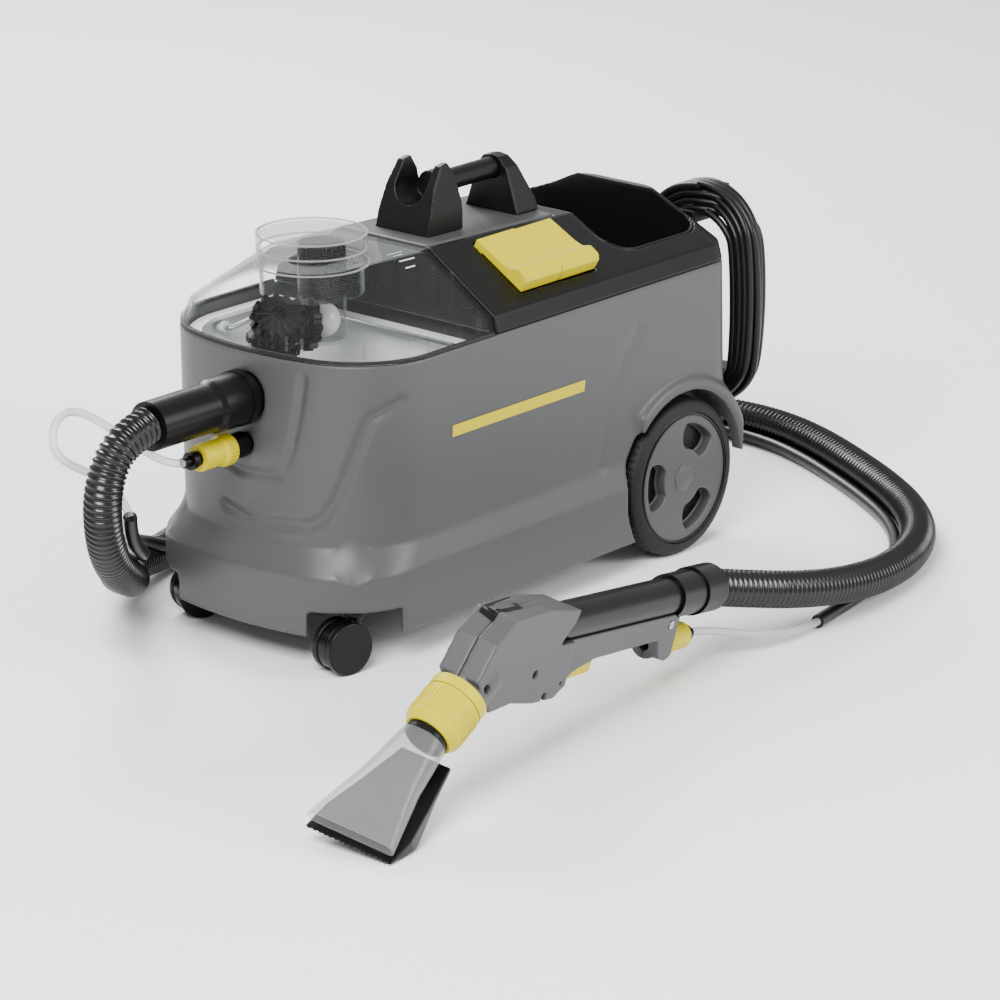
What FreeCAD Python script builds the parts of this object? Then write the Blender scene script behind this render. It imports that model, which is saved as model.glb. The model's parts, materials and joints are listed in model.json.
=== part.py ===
import FreeCAD, Part
import os
from math import atan2, cos, hypot, pi, radians, sin, sqrt, tan

# Spot extractor: a compact spray-extraction machine with its hose, hand wand and power cable.
# Millimetres. +X runs to the rear, the hose port is at -X, +Z is up, and the floor is at Z = 0.
# The origin is on the floor, under the middle of the machine.

V = FreeCAD.Vector
X = V(1, 0, 0)
Y = V(0, 1, 0)
Z = V(0, 0, 1)

# ---- driving dimensions: the grey housing ----
wall = 5.0
skirt_bottom = 34.0
crease_height = 96.0
shoulder_height = 122.0
rim_height = 307.0
skirt_half = 150.0
body_half_low = 141.0
body_half_high = 150.0
skirt_front = -300.0
body_front_low = -284.0
body_front_high = -280.0
skirt_rear = 318.0
body_rear_high = 300.0
deck_thickness = 6.0
bulkhead_x = -60.0
skirt_bow = 400.0
skirt_corner = 85.0
body_bow = 300.0
body_corner = 95.0
rear_corner = 34.0

# ---- driving dimensions: the crowned top ----
lip_height = 325.0
lip_half = 145.5
lip_front = -268.0
crown_height = 376.0
crown_drop = 0.035
crown_half = 62.0
crown_front = -222.0
roof = 6.0
lid_split = -82.0
lid_wall = 3.0
seat_gap = 0.4

# ---- driving dimensions: wheels, axle and castors ----
wheel_x = 222.0
tyre_radius = 84.0
disc_radius = 70.0
wheel_outer = 148.0
wheel_width = 36.0
axle_radius = 6.0
running_fit = 0.05
arch_radius = 94.0
liner_inner = 107.0
castor_x = -253.0
castor_y = 116.0
castor_radius = 26.5
castor_trail = 16.0
castor_width = 30.0
castor_stem = 5.0

# ---- driving dimensions: ports, hose and cords ----
port_height = 262.0
spray_height = 214.0
hose_diameter = 38.0
port_bore = 16.0
sheath_diameter = 14.0
spray_diameter = 8.0
cable_diameter = 8.0

# ---- driving dimensions: the hand wand ----
wand_end = V(-98.0, -382.0, 94.0)
wand_yaw = 8.8
wand_pitch = 10.0
wand_roll = 10.0
wand_tube_radius = 19.0
wand_tube_length = 229.0
wand_bend = 40.0


def clean(shape):
    return shape.removeSplitter()


def box(x0, x1, y0, y1, z0, z1):
    return Part.makeBox(x1 - x0, y1 - y0, z1 - z0, V(x0, y0, z0))


def rod(radius, start, end):
    """A round bar between two points."""
    way = end - start
    return Part.makeCylinder(radius, way.Length, start, way)


def tube(outer, inner, start, end):
    return rod(outer, start, end).cut(rod(inner, start, end))


def cone(first, second, start, end):
    way = end - start
    return Part.makeCone(first, second, way.Length, start, way)


def arc(a, b, c):
    return Part.Arc(a, b, c).toShape()


def line(a, b):
    return Part.LineSegment(a, b).toShape()


def plan_wire(height, front, rear, half, bow, corner, rear_round, drop=0.0):
    """Plan outline with a bowed front, round front corners and small rear corners."""
    def at(x, y):
        return V(x, y, height - drop * x)
    corner_x = front + bow - sqrt((bow - corner) ** 2 - (half - corner) ** 2)
    side = half - corner
    bow_x = front + bow
    reach = hypot(corner_x - bow_x, side)
    touch_x = bow_x + bow * (corner_x - bow_x) / reach
    touch_y = bow * side / reach
    turn = atan2(touch_y - side, touch_x - corner_x)
    middle = (turn + pi / 2.0) / 2.0
    mid_x = corner_x + corner * cos(middle)
    mid_y = side + corner * sin(middle)
    slant = rear_round * (1.0 - sqrt(0.5))
    edges = [line(at(rear - rear_round, -half), at(corner_x, -half)),
             arc(at(corner_x, -half), at(mid_x, -mid_y), at(touch_x, -touch_y)),
             arc(at(touch_x, -touch_y), at(front, 0), at(touch_x, touch_y)),
             arc(at(touch_x, touch_y), at(mid_x, mid_y), at(corner_x, half)),
             line(at(corner_x, half), at(rear - rear_round, half)),
             arc(at(rear - rear_round, half), at(rear - slant, half - slant), at(rear, half - rear_round)),
             line(at(rear, half - rear_round), at(rear, rear_round - half)),
             arc(at(rear, rear_round - half), at(rear - slant, slant - half), at(rear - rear_round, -half))]
    return Part.Wire(edges)


def loft(wires):
    return Part.makeLoft(wires, True, True)


def rounded_box(x0, x1, y0, y1, z0, z1, radius):
    block = box(x0, x1, y0, y1, z0, z1)
    upright = [edge for edge in block.Edges if abs(edge.tangentAt(edge.FirstParameter).z) > 0.9]
    return block.makeFillet(radius, upright)


def both_sides(shape):
    return shape.fuse(shape.mirror(V(0, 0, 0), Y))


# ------------------------------------------------------------------ housing
def housing_envelope(inset, bottom, top):
    """The outside of the grey housing, or its inside when inset by a wall."""
    grow = (body_half_high - body_half_low) / (rim_height - shoulder_height)
    lean = (body_front_high - body_front_low) / (rim_height - shoulder_height)
    tip = (body_rear_high - skirt_rear) / (rim_height - shoulder_height)
    over = top - rim_height
    levels = [plan_wire(bottom, skirt_front + inset, skirt_rear - inset, skirt_half - inset,
                        skirt_bow, skirt_corner - inset, rear_corner - inset),
              plan_wire(crease_height, skirt_front + inset, skirt_rear - inset, skirt_half - inset,
                        skirt_bow, skirt_corner - inset, rear_corner - inset),
              plan_wire(shoulder_height, body_front_low + inset, skirt_rear - inset, body_half_low - inset,
                        body_bow, body_corner - inset, rear_corner - inset),
              plan_wire(top, body_front_high + inset + lean * over, body_rear_high - inset + tip * over,
                        body_half_high - inset + grow * over, body_bow, body_corner - inset,
                        rear_corner - inset)]
    return loft(levels)


def wheel_well(radius, inner):
    """A round well about the rear axle, from its inner wall outwards, on both sides."""
    start = V(wheel_x, -inner, tyre_radius)
    return both_sides(rod(radius, start, V(wheel_x, -skirt_half - 20.0, tyre_radius)))


def arch_flares():
    """The raised lips round the two rear wheel arches."""
    start = V(wheel_x, -body_half_low + 6.0, tyre_radius)
    flare = cone(arch_radius + 22.0, arch_radius + 11.0, start, V(wheel_x, -skirt_half - 1.0, tyre_radius))
    keep = box(wheel_x - 70.0, skirt_rear + 1.5, -skirt_half - 2.0, 0, crease_height - 4.0, 260.0)
    return both_sides(flare.common(keep))


def castor_points():
    return [V(castor_x, side * castor_y, 0) for side in (-1, 1)]


def body_housing():
    shell = housing_envelope(0.0, skirt_bottom, rim_height)
    inside = housing_envelope(wall, skirt_bottom - 2.0, rim_height + 4.0)
    deck_low = shoulder_height - deck_thickness
    below = inside.common(box(-400, 400, -200, 200, 0, deck_low))
    well = inside.common(box(-400, bulkhead_x - wall / 2, -200, 200, shoulder_height, 400))
    bay = inside.common(box(bulkhead_x + wall / 2, 400, -200, 200, shoulder_height, 400))
    liner = wheel_well(arch_radius + 4.0, liner_inner - 4.0).common(shell)
    shell = shell.cut(below).cut(well).cut(bay)
    shell = shell.fuse(liner).fuse(arch_flares())
    for spot in castor_points():
        boss = rod(13.0, spot + V(0, 0, 62.0), spot + V(0, 0, deck_low + 1.0))
        shell = shell.fuse(boss)
    for x in (-150.0, 95.0):
        for side in (-1, 1):
            shell = shell.fuse(rod(9.0, V(x, side * 95.0, 44.0), V(x, side * 95.0, deck_low + 1.0)))
    for side in (-1, 1):
        start = V(wheel_x, side * (liner_inner - 20.0), tyre_radius)
        shell = shell.fuse(rod(14.0, start, V(wheel_x, side * (liner_inner - 1.0), tyre_radius)))
    shell = shell.cut(wheel_well(arch_radius, liner_inner))
    behind = box(wheel_x, skirt_rear + 5.0, -skirt_half - 5.0, -liner_inner + 6.0, 0, crease_height - 4.0)
    shell = shell.cut(both_sides(behind))
    for spot in castor_points():
        reach = hypot(castor_trail + castor_radius, castor_width / 2)
        sweep = rod(reach + 1.5, spot, spot + V(0, 0, 61.0))
        bore = rod(castor_stem + running_fit, spot, spot + V(0, 0, 104.0))
        shell = shell.cut(sweep).cut(bore)
    axle_ends = V(wheel_x, -160, tyre_radius), V(wheel_x, 160, tyre_radius)
    shell = shell.cut(rod(axle_radius + running_fit, *axle_ends))
    ahead, behind = skirt_front - 5, body_front_high + 12
    shell = shell.cut(rod(port_bore + 8.0, V(ahead, 0, port_height), V(behind, 0, port_height)))
    shell = shell.cut(rod(10.0, V(ahead, 0, spray_height), V(behind, 0, spray_height)))
    gland_ends = V(280, gland_y, gland_height), V(330, gland_y, gland_height)
    shell = shell.cut(rod(cable_diameter / 2 + 6.0, *gland_ends))
    return clean(shell)


def under_plate():
    """The flat black plate that closes the underside between the wheels."""
    front = rounded_box(-186.0, 122.0, -skirt_half + wall + 0.6, skirt_half - wall - 0.6, 40.0, 44.0, 8.0)
    rear = box(110.0, 300.0, -liner_inner + 6.0, liner_inner - 6.0, 40.0, 44.0)
    return clean(front.fuse(rear))


# ------------------------------------------------------------------ crowned top
def crown(inset, bottom=rim_height):
    """The crowned top above the housing rim, or its inside when inset."""
    def level(height, front, rear, half, corner, drop=0.0):
        return plan_wire(height, front + inset, rear - inset, half - inset, body_bow,
                         corner - inset * 0.8, rear_corner - inset, drop)
    return loft([level(bottom, body_front_high, body_rear_high, body_half_high, body_corner),
                 level(lip_height - inset * 0.5, lip_front, body_rear_high - 1.0, lip_half, 90.0),
                 level(crown_height - inset, crown_front, body_rear_high - 5.0, crown_half, 55.0, crown_drop)])


def crown_at(x):
    return crown_height - crown_drop * x


def slope_point(x, along, out):
    """A point on the near sloped side: distance up the slope and height above it."""
    low = V(x, -lip_half, lip_height)
    high = V(x, -crown_half, crown_at(x))
    way = (high - low).normalize()
    normal = V(0, -way.z, way.y)
    return low + way * along + normal * out


def slope_prism(x0, x1, outline):
    """A prism on the near sloped side, from an outline of (up the slope, out of it) pairs."""
    middle = (x0 + x1) / 2.0
    shift = V((x1 - x0) / 2.0, 0, 0)
    points = [slope_point(middle, along, out) - shift for along, out in outline]
    face = Part.Face(Part.makePolygon(points + points[:1]))
    return face.extrude(shift * 2.0)


switch_left = -20.0
switch_width = 57.0
switch_low = 18.0
switch_length = 72.0
switch_well_depth = 10.0
switch_pivot_along = switch_low + switch_length - 6.0
switch_pivot_out = -2.5
switch_pin_radius = 2.0
tray_front = 138.0
tray_rear = 287.0
tray_half = 122.0
tray_floor = 262.0
tray_wall = 3.0
panel_front = lid_split + 4.0
panel_rear = 118.0
panel_half = 56.0


def switch_span():
    return switch_left - 1.5, switch_left + 2 * switch_width + 2.5


def tray_block(inset, floor):
    return rounded_box(tray_front + inset, tray_rear - inset, inset - tray_half, tray_half - inset,
                       floor, 420.0, 34.0 - inset)


def top_cover():
    solid = crown(0.0).common(box(lid_split + 3.0, 400, -200, 200, 0, 500))
    hollow = crown(roof, rim_height - 4.0).common(box(lid_split + 3.0 + roof, 400, -200, 200, 0, 500))
    cover = solid.cut(hollow)
    x0, x1 = switch_span()
    block = [(switch_low - 5.0, -switch_well_depth - 3.0), (switch_low + switch_length + 5.0, -switch_well_depth - 3.0),
             (switch_low + switch_length + 5.0, -2.0), (switch_low - 5.0, -2.0)]
    cover = cover.fuse(slope_prism(x0 - 5.0, x1 + 5.0, block).common(solid))
    well = [(switch_low - 1.5, -switch_well_depth), (switch_low + switch_length + 1.5, -switch_well_depth),
            (switch_low + switch_length + 1.5, 10.0), (switch_low - 1.5, 10.0)]
    cover = cover.cut(slope_prism(x0, x1, well))
    pivot = slope_point((x0 + x1) / 2.0, switch_pivot_along, switch_pivot_out)
    cover = cover.cut(rod(switch_pin_radius, V(x0 - 3.0, pivot.y, pivot.z), V(x1 + 3.0, pivot.y, pivot.z)))
    cover = cover.cut(tray_block(0.0, rim_height - 10.0))
    cover = cover.cut(centre_panel_block(0.0))
    cover = cover.cut(rod(4.0, V(280, hook_y, hook_height - 6.0), V(310, hook_y, hook_height - 6.0)))
    return clean(cover)


def tilted_slab(x0, x1, half, low, high):
    """A slab on top of the crown that follows its gentle fall to the rear."""
    points = [V(x0, -half, crown_at(x0) + low), V(x1, -half, crown_at(x1) + low),
              V(x1, -half, crown_at(x1) + high), V(x0, -half, crown_at(x0) + high)]
    face = Part.Face(Part.makePolygon(points + points[:1]))
    return face.extrude(V(0, 2 * half, 0))


def centre_panel_block(shrink):
    return tilted_slab(panel_front + shrink, panel_rear - shrink, panel_half - shrink, -3.0, 1.5)


def centre_panel():
    """The grey panel along the top, recessed where the two handle supports stand on it."""
    panel = centre_panel_block(seat_gap)
    return clean(panel.cut(fork_support()).cut(rear_support()))


def storage_tray():
    """The open tub behind the handle, cut to the crown's own slope along its rim."""
    outer = tray_block(seat_gap, tray_floor)
    solid = outer.common(crown(0.0, tray_floor - 5.0))
    return clean(solid.cut(tray_block(seat_gap + tray_wall, tray_floor + tray_wall)))


# ------------------------------------------------------------------ carrying handle
grip_height = 419.0
grip_radius = 11.0
fork_front = -52.0
fork_back = 2.0
fork_half = 35.0
horn_top = 447.0
horn_thickness = 15.0
support_front = 86.0
support_back = 120.0


def fork_profile():
    """Side outline of one horn, in the X-Z plane."""
    base = crown_at(fork_back) + 1.5
    return [V(fork_front, 0, base), V(fork_back, 0, base), V(fork_back, 0, base + 30.0),
            V(fork_back - 6.0, 0, horn_top - 14.0), V(fork_back - 15.0, 0, horn_top),
            V(fork_back - 26.0, 0, horn_top - 2.0), V(fork_front + 14.0, 0, horn_top - 24.0),
            V(fork_front + 4.0, 0, base + 16.0)]


def fork_support():
    """Front handle support: two horns with a cradle between them for the hand wand."""
    points = fork_profile()
    face = Part.Face(Part.makePolygon(points + points[:1]))
    face.translate(V(0, -fork_half, 0))
    block = face.extrude(V(0, 2 * fork_half, 0))
    cradle = fork_half - horn_thickness
    bottom = horn_top - 42.0
    gap = rod(cradle, V(-80, 0, bottom + cradle), V(20, 0, bottom + cradle))
    gap = gap.fuse(box(-80, 20, -cradle, cradle, bottom + cradle, 480))
    block = block.cut(gap)
    lean = 7.0
    for side in (-1, 1):
        corner = [V(-90, side * (fork_half - lean), horn_top + 5), V(-90, side * (fork_half + 3), horn_top + 5),
                  V(-90, side * (fork_half + 3), crown_height)]
        wedge = Part.Face(Part.makePolygon(corner + corner[:1])).extrude(V(130, 0, 0))
        block = block.cut(wedge)
    socket = rod(grip_radius + 4.0, V(fork_back - 12.0, 0, grip_height), V(fork_back + 6.0, 0, grip_height))
    web = box(fork_back - 12.0, fork_back, -12.0, 12.0, bottom - 6.0, grip_height)
    block = block.fuse(web).fuse(socket)
    return clean(block.cut(rod(grip_radius, V(fork_back - 6.0, 0, grip_height), V(60, 0, grip_height))))


def rear_support():
    """Rear handle support: a tapered arch that spreads towards its foot."""
    base = crown_at(support_back) + 1.5
    foot = fork_half
    top = grip_height + grip_radius + 3.0
    outline = [V(support_front, -foot, base), V(support_front, -foot * 0.55, top - 12.0),
               V(support_front, -foot * 0.3, top - 2.0), V(support_front, 0, top),
               V(support_front, foot * 0.3, top - 2.0), V(support_front, foot * 0.55, top - 12.0),
               V(support_front, foot, base)]
    face = Part.Face(Part.makePolygon(outline + outline[:1]))
    block = face.extrude(V(support_back - support_front, 0, 0))
    slant = [V(support_back + 1.0, -60, base + 10.0), V(support_back + 1.0, -60, top + 1.0),
             V(support_front + 14.0, -60, top + 1.0)]
    block = block.cut(Part.Face(Part.makePolygon(slant + slant[:1])).extrude(V(0, 120, 0)))
    return clean(block.cut(rod(grip_radius, V(40, 0, grip_height), V(support_front + 12.0, 0, grip_height))))


def grip_bar():
    start = V(fork_back - 6.0, 0, grip_height)
    end = V(support_front + 12.0, 0, grip_height)
    bar = rod(grip_radius, start, end)
    ends = [edge for edge in bar.Edges if abs(edge.Length - 2 * pi * grip_radius) < 0.1]
    bar = bar.makeChamfer(1.5, ends)
    return clean(bar)


# ------------------------------------------------------------------ lid, tank and float
dome_x = -183.0
dome_radius = 55.0
dome_top = 407.0
gasket_thickness = 3.0
tank_floor = 140.0
tank_wall = 3.0
tank_gap = 5.0
tank_rear = lid_split - 5.0


def lid_gasket():
    """The dark seal that the clear lid sits on, round the rim of the housing's well."""
    ring = housing_envelope(0.6, skirt_bottom, rim_height + gasket_thickness)
    ring = ring.cut(housing_envelope(wall - 0.5, skirt_bottom - 2.0, rim_height + gasket_thickness + 4.0))
    keep = box(-400, lid_split, -200, 200, rim_height, rim_height + gasket_thickness)
    return clean(ring.common(keep))


def clear_lid():
    base = rim_height + gasket_thickness
    keep = box(-400, lid_split - 1.0, -200, 200, base, 500)
    solid = crown(0.0, rim_height).common(keep)
    collar = rod(dome_radius + 5.0, V(dome_x, 0, crown_at(dome_x) - 12.0), V(dome_x, 0, crown_at(dome_x) - 4.0))
    dome = rod(dome_radius, V(dome_x, 0, crown_at(dome_x) - 20.0), V(dome_x, 0, dome_top))
    dome = dome.makeFillet(5.0, [dome.Edges[0]])
    solid = solid.fuse(dome).fuse(collar.common(solid.fuse(dome)))
    hollow = crown(lid_wall, rim_height - 4.0).common(box(-400, lid_split - 1.0 - lid_wall, -200, 200, 0, 500))
    bore = rod(dome_radius - lid_wall, V(dome_x, 0, 320.0), V(dome_x, 0, dome_top - lid_wall))
    lid = solid.cut(hollow).cut(bore)
    return clean(lid)


def recovery_tank():
    """The lift-out dirty-water tank, open on top, with a flange round its mouth."""
    gap = wall + tank_gap
    top = rim_height - 14.0
    block = housing_envelope(gap, skirt_bottom, rim_height)
    block = block.common(box(-400, tank_rear, -200, 200, tank_floor, top))
    inner = housing_envelope(gap + tank_wall, skirt_bottom, rim_height)
    inner = inner.common(box(-400, tank_rear - tank_wall, -200, 200, tank_floor + tank_wall, 400))
    tank = block.cut(inner)
    tank = tank.cut(rod(port_bore + 3.0, V(-300, 0, port_height), V(-240, 0, port_height)))
    for side in (-1, 1):
        wall_y = body_half_high - gap - tank_wall
        ear = rod(6.0, V(bail_x, side * (wall_y - 12.0), bail_height), V(bail_x, side * (wall_y + 1.0), bail_height))
        tank = tank.fuse(ear)
        bore = rod(bail_wire + running_fit, V(bail_x, side * 60, bail_height),
                   V(bail_x, side * (wall_y - 1.0), bail_height))
        tank = tank.cut(bore)
    return clean(tank)


bail_x = -176.0
bail_reach = 74.0
bail_wire = 2.5
bail_height = 284.0


def tank_bail():
    """The wire carrying handle of the recovery tank, folded back over its mouth."""
    eye = body_half_high - wall - tank_gap - tank_wall
    tip = eye - 2.0
    side = eye - 18.0
    far = bail_x + bail_reach
    points = [V(bail_x, -tip, bail_height), V(bail_x, -side, bail_height),
              V(far, -side + 6.0, bail_height + 10.0), V(far, side - 6.0, bail_height + 10.0),
              V(bail_x, side, bail_height), V(bail_x, tip, bail_height)]
    wire = rod(bail_wire, points[0], points[1])
    for first, second in zip(points[1:-1], points[2:]):
        wire = wire.fuse(rod(bail_wire, first, second))
        wire = wire.fuse(Part.makeSphere(bail_wire, first))
    return clean(wire)


elbow_turn_x = -240.0


def suction_port():
    """The black ring on the housing's nose that the hose cuff pushes into."""
    flange = tube(port_bore + 12.0, port_bore, V(body_front_low - 12.0, 0, port_height), V(body_front_low - 3.0, 0, port_height))
    neck = tube(port_bore + 8.0 - 0.2, port_bore, V(body_front_low - 4.0, 0, port_height),
                V(body_front_high + wall, 0, port_height))
    return clean(flange.fuse(neck))


def inlet_elbow():
    """The ribbed elbow inside the lid that turns the dirty water up, over and down into the tank."""
    start = V(body_front_high + wall + 0.5, 0, port_height)
    turn = V(elbow_turn_x, 0, port_height)
    top = V(elbow_turn_x, 0, port_height + 62.0)
    bend = rod(port_bore + 3.0, start, turn).fuse(Part.makeSphere(port_bore + 3.0, turn))
    bend = bend.fuse(rod(port_bore + 3.0, turn, top)).fuse(Part.makeSphere(port_bore + 3.0, top))
    mouth = V(elbow_turn_x + 36.0, -14.0, port_height + 58.0)
    bend = bend.fuse(rod(port_bore + 3.0, top, mouth))
    for index in range(5):
        z = port_height + 22.0 + index * 9.0
        bend = bend.fuse(rod(port_bore + 5.5, V(elbow_turn_x, 0, z), V(elbow_turn_x, 0, z + 4.0)))
    bore = rod(port_bore, start - X, turn).fuse(Part.makeSphere(port_bore, turn))
    bore = bore.fuse(rod(port_bore, turn, top)).fuse(Part.makeSphere(port_bore, top))
    bore = bore.fuse(rod(port_bore, top, mouth + (mouth - top).normalize() * 2.0))
    return clean(bend.cut(bore))


float_x = dome_x + 14.0


def float_cage():
    """The cage under the dome whose float shuts off the suction when the tank is full."""
    low = 296.0
    high = dome_top - 14.0
    cage = tube(24.0, 21.5, V(float_x, 0, low), V(float_x, 0, high))
    for index in range(6):
        cut = box(0, 30, -6.0, 6.0, low + 10.0, high - 22.0)
        cut.rotate(V(0, 0, 0), Z, 60.0 * index + 30.0)
        cut.translate(V(float_x, 0, 0))
        cage = cage.cut(cut)
    floor = rod(24.0, V(float_x, 0, low - 3.0), V(float_x, 0, low))
    lips = rod(dome_radius - lid_wall - 0.3, V(dome_x, 0, high - 44.0), V(dome_x, 0, high - 40.0))
    lips = lips.cut(rod(22.5, V(float_x, 0, high - 45.0), V(float_x, 0, high - 39.0)))
    return clean(cage.fuse(floor).fuse(lips))


def float_ball():
    return Part.makeSphere(18.0, V(float_x, 0, 296.0 + 18.3))


# ------------------------------------------------------------------ drive inside the rear bay
motor_x = 40.0


def turbine_housing():
    """The scroll that holds the suction fan, with its inlet neck on top."""
    low = shoulder_height + 62.0
    scroll = rod(74.0, V(motor_x, 30.0, low), V(motor_x, 30.0, low + 46.0))
    inner = rod(68.0, V(motor_x, 30.0, low + 4.0), V(motor_x, 30.0, low + 42.0))
    neck = rod(22.0, V(motor_x, 30.0, low + 40.0), V(motor_x, 30.0, low + 84.0))
    eye = rod(18.0, V(motor_x, 30.0, low + 10.0), V(motor_x, 30.0, low + 90.0))
    shaft_hole = rod(8.0, V(motor_x, 30.0, low - 5.0), V(motor_x, 30.0, low + 10.0))
    return clean(scroll.fuse(neck).cut(inner).cut(eye).cut(shaft_hole))


def impeller():
    """The bladed fan on the motor shaft."""
    low = shoulder_height + 62.0
    disc = rod(62.0, V(motor_x, 30.0, low + 12.0), V(motor_x, 30.0, low + 15.0))
    fan = disc.fuse(rod(10.0, V(motor_x, 30.0, low + 12.0), V(motor_x, 30.0, low + 24.0)))
    fan = fan.fuse(rod(5.0, V(motor_x, 30.0, low - 12.0), V(motor_x, 30.0, low + 14.0)))
    for index in range(8):
        blade = box(14.0, 58.0, -1.2, 1.2, low + 14.0, low + 32.0)
        blade.rotate(V(0, 0, 0), Z, 45.0 * index)
        blade.translate(V(motor_x, 30.0, 0))
        fan = fan.fuse(blade)
    return clean(fan)


def motor_can():
    low = shoulder_height
    can = rod(52.0, V(motor_x, 30.0, low), V(motor_x, 30.0, low + 50.0))
    foot = box(motor_x - 60.0, motor_x + 60.0, -10.0, 70.0, low, low + 6.0)
    nose = tube(24.0, 8.0, V(motor_x, 30.0, low + 46.0), V(motor_x, 30.0, low + 61.8))
    hole = rod(8.0, V(motor_x, 30.0, low + 40.0), V(motor_x, 30.0, low + 60.0))
    return clean(can.fuse(foot).cut(hole).fuse(nose))


def pump_body():
    low = shoulder_height
    body = rounded_box(-20.0, 45.0, -118.0, -58.0, low, low + 46.0, 6.0)
    head = rod(16.0, V(44.0, -88.0, low + 24.0), V(78.0, -88.0, low + 24.0))
    return clean(body.fuse(head))


# ------------------------------------------------------------------ rear wheels
def wheel_span(side):
    return side * wheel_outer, side * (wheel_outer - wheel_width)


def rear_axle():
    end = wheel_outer - 6.0
    return rod(axle_radius, V(wheel_x, -end, tyre_radius), V(wheel_x, end, tyre_radius))


def wheel_pocket(angle, side):
    """One round-ended pocket in the outer face of a wheel disc."""
    inner, outer = 31.0, 58.0
    spread = radians(24.0)
    def at(radius, turn):
        return V(wheel_x + radius * cos(turn), side * (wheel_outer + 1.0), tyre_radius + radius * sin(turn))
    first, last = angle - spread, angle + spread
    middle = (inner + outer) / 2.0
    round_off = 0.12
    edges = [arc(at(outer, first), at(outer, angle), at(outer, last)),
             arc(at(outer, last), at(middle, last + round_off), at(inner, last)),
             arc(at(inner, last), at(inner, angle), at(inner, first)),
             arc(at(inner, first), at(middle, first - round_off), at(outer, first))]
    return Part.Face(Part.Wire(edges)).extrude(V(0, -side * 15.0, 0))


def wheel_disc(side):
    outer, inner = wheel_span(side)
    def at(y):
        return V(wheel_x, y, tyre_radius)
    disc = rod(disc_radius, at(outer - side * 1.0), at(inner + side * 1.0))
    disc = disc.cut(tube(60.0, 20.0, at(inner - side * 1.0), at(outer - side * 20.0)))
    for index in range(3):
        disc = disc.cut(wheel_pocket(radians(60.0 + 120.0 * index), side))
    groove = tube(18.0, 16.5, at(outer), at(outer - side * 2.5))
    disc = disc.cut(groove)
    bore = rod(axle_radius + running_fit, at(inner), at(outer - side * 5.0))
    return clean(disc.cut(bore))


def tyre(side):
    outer, inner = wheel_span(side)
    body = rod(tyre_radius, V(wheel_x, outer, tyre_radius), V(wheel_x, inner, tyre_radius))
    rims = [edge for edge in body.Edges if abs(edge.Length - 2 * pi * tyre_radius) < 0.1]
    body = body.makeFillet(6.0, rims)
    hole = rod(disc_radius, V(wheel_x, outer + side, tyre_radius), V(wheel_x, inner - side, tyre_radius))
    return clean(body.cut(hole))


# ------------------------------------------------------------------ castors
castor_turn = {-1: 170.0, 1: -25.0}


def castor_frame(side):
    """Placement that puts a castor modelled about its own swivel axis under the housing."""
    place = FreeCAD.Placement(V(castor_x, side * castor_y, 0), FreeCAD.Rotation(Z, castor_turn[side]))
    return place


def castor_hood(side):
    """Hood, fork and stem of a twin-wheel castor; its wheels trail along its own +X."""
    half = castor_width / 2 - 8.8
    hub = V(castor_trail, 0, castor_radius)
    hood = rod(castor_radius - 1.0, hub - Y * half, hub + Y * half)
    hood = hood.cut(box(-10, 60, -20, 20, -5, 9.0))
    neck = rod(half, V(0, 0, 34.0), V(0, 0, 56.0)).fuse(rod(11.0, V(0, 0, 55.0), V(0, 0, 60.0)))
    bridge = box(0, castor_trail, -half, half, 34.0, 48.0)
    stem = rod(castor_stem, V(0, 0, 55.0), V(0, 0, 102.0))
    hood = hood.fuse(neck).fuse(bridge).fuse(stem)
    hood = hood.cut(rod(3.0 + running_fit, hub - Y * 20, hub + Y * 20))
    hood.Placement = castor_frame(side)
    return clean(hood)


def castor_wheels(side):
    """The two discs of a twin-wheel castor."""
    hub = V(castor_trail, 0, castor_radius)
    outer = castor_width / 2
    discs = []
    for way in (-1, 1):
        disc = rod(castor_radius, hub + Y * (way * (outer - 8.0)), hub + Y * (way * outer))
        rims = [edge for edge in disc.Edges if abs(edge.Length - 2 * pi * castor_radius) < 0.1]
        disc = disc.makeFillet(1.5, rims)
        discs.append(disc.cut(rod(3.0, hub - Y * (outer - 2.0), hub + Y * (outer - 2.0))))
    pair = Part.makeCompound(discs)
    pair.Placement = castor_frame(side)
    return pair


def castor_axle(side):
    hub = V(castor_trail, 0, castor_radius)
    outer = castor_width / 2 - 2.0
    pin = rod(3.0, hub - Y * outer, hub + Y * outer)
    pin.Placement = castor_frame(side)
    return pin


# ------------------------------------------------------------------ switches
def switch_rocker(index):
    """One wide yellow rocker with a raised ridge along its lower edge."""
    x0 = switch_left + index * (switch_width + 1.0)
    low = switch_low
    high = switch_low + switch_length
    outline = [(low, -1.0), (low, 12.0), (low + 4.0, 17.0), (low + 16.0, 17.5), (low + 24.0, 10.5),
               (low + 34.0, 8.5), (high, 7.0), (high, -1.0), (high - 1.5, -5.0), (high - 10.5, -5.0),
               (high - 13.0, -1.0)]
    rocker = slope_prism(x0, x0 + switch_width, outline)
    centre = switch_rod_point()
    bore = rod(switch_pin_radius + running_fit, V(x0 - 5.0, centre.y, centre.z), V(x0 + switch_width + 5.0, centre.y, centre.z))
    return clean(rocker.cut(bore))


def switch_rod_point():
    x0, x1 = switch_span()
    return slope_point((x0 + x1) / 2.0, switch_pivot_along, switch_pivot_out)


def switch_rod():
    x0, x1 = switch_span()
    centre = switch_rod_point()
    return rod(switch_pin_radius, V(x0 - 3.0, centre.y, centre.z), V(x1 + 3.0, centre.y, centre.z))


# ------------------------------------------------------------------ spray couplings
nose_x = body_front_low


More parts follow.
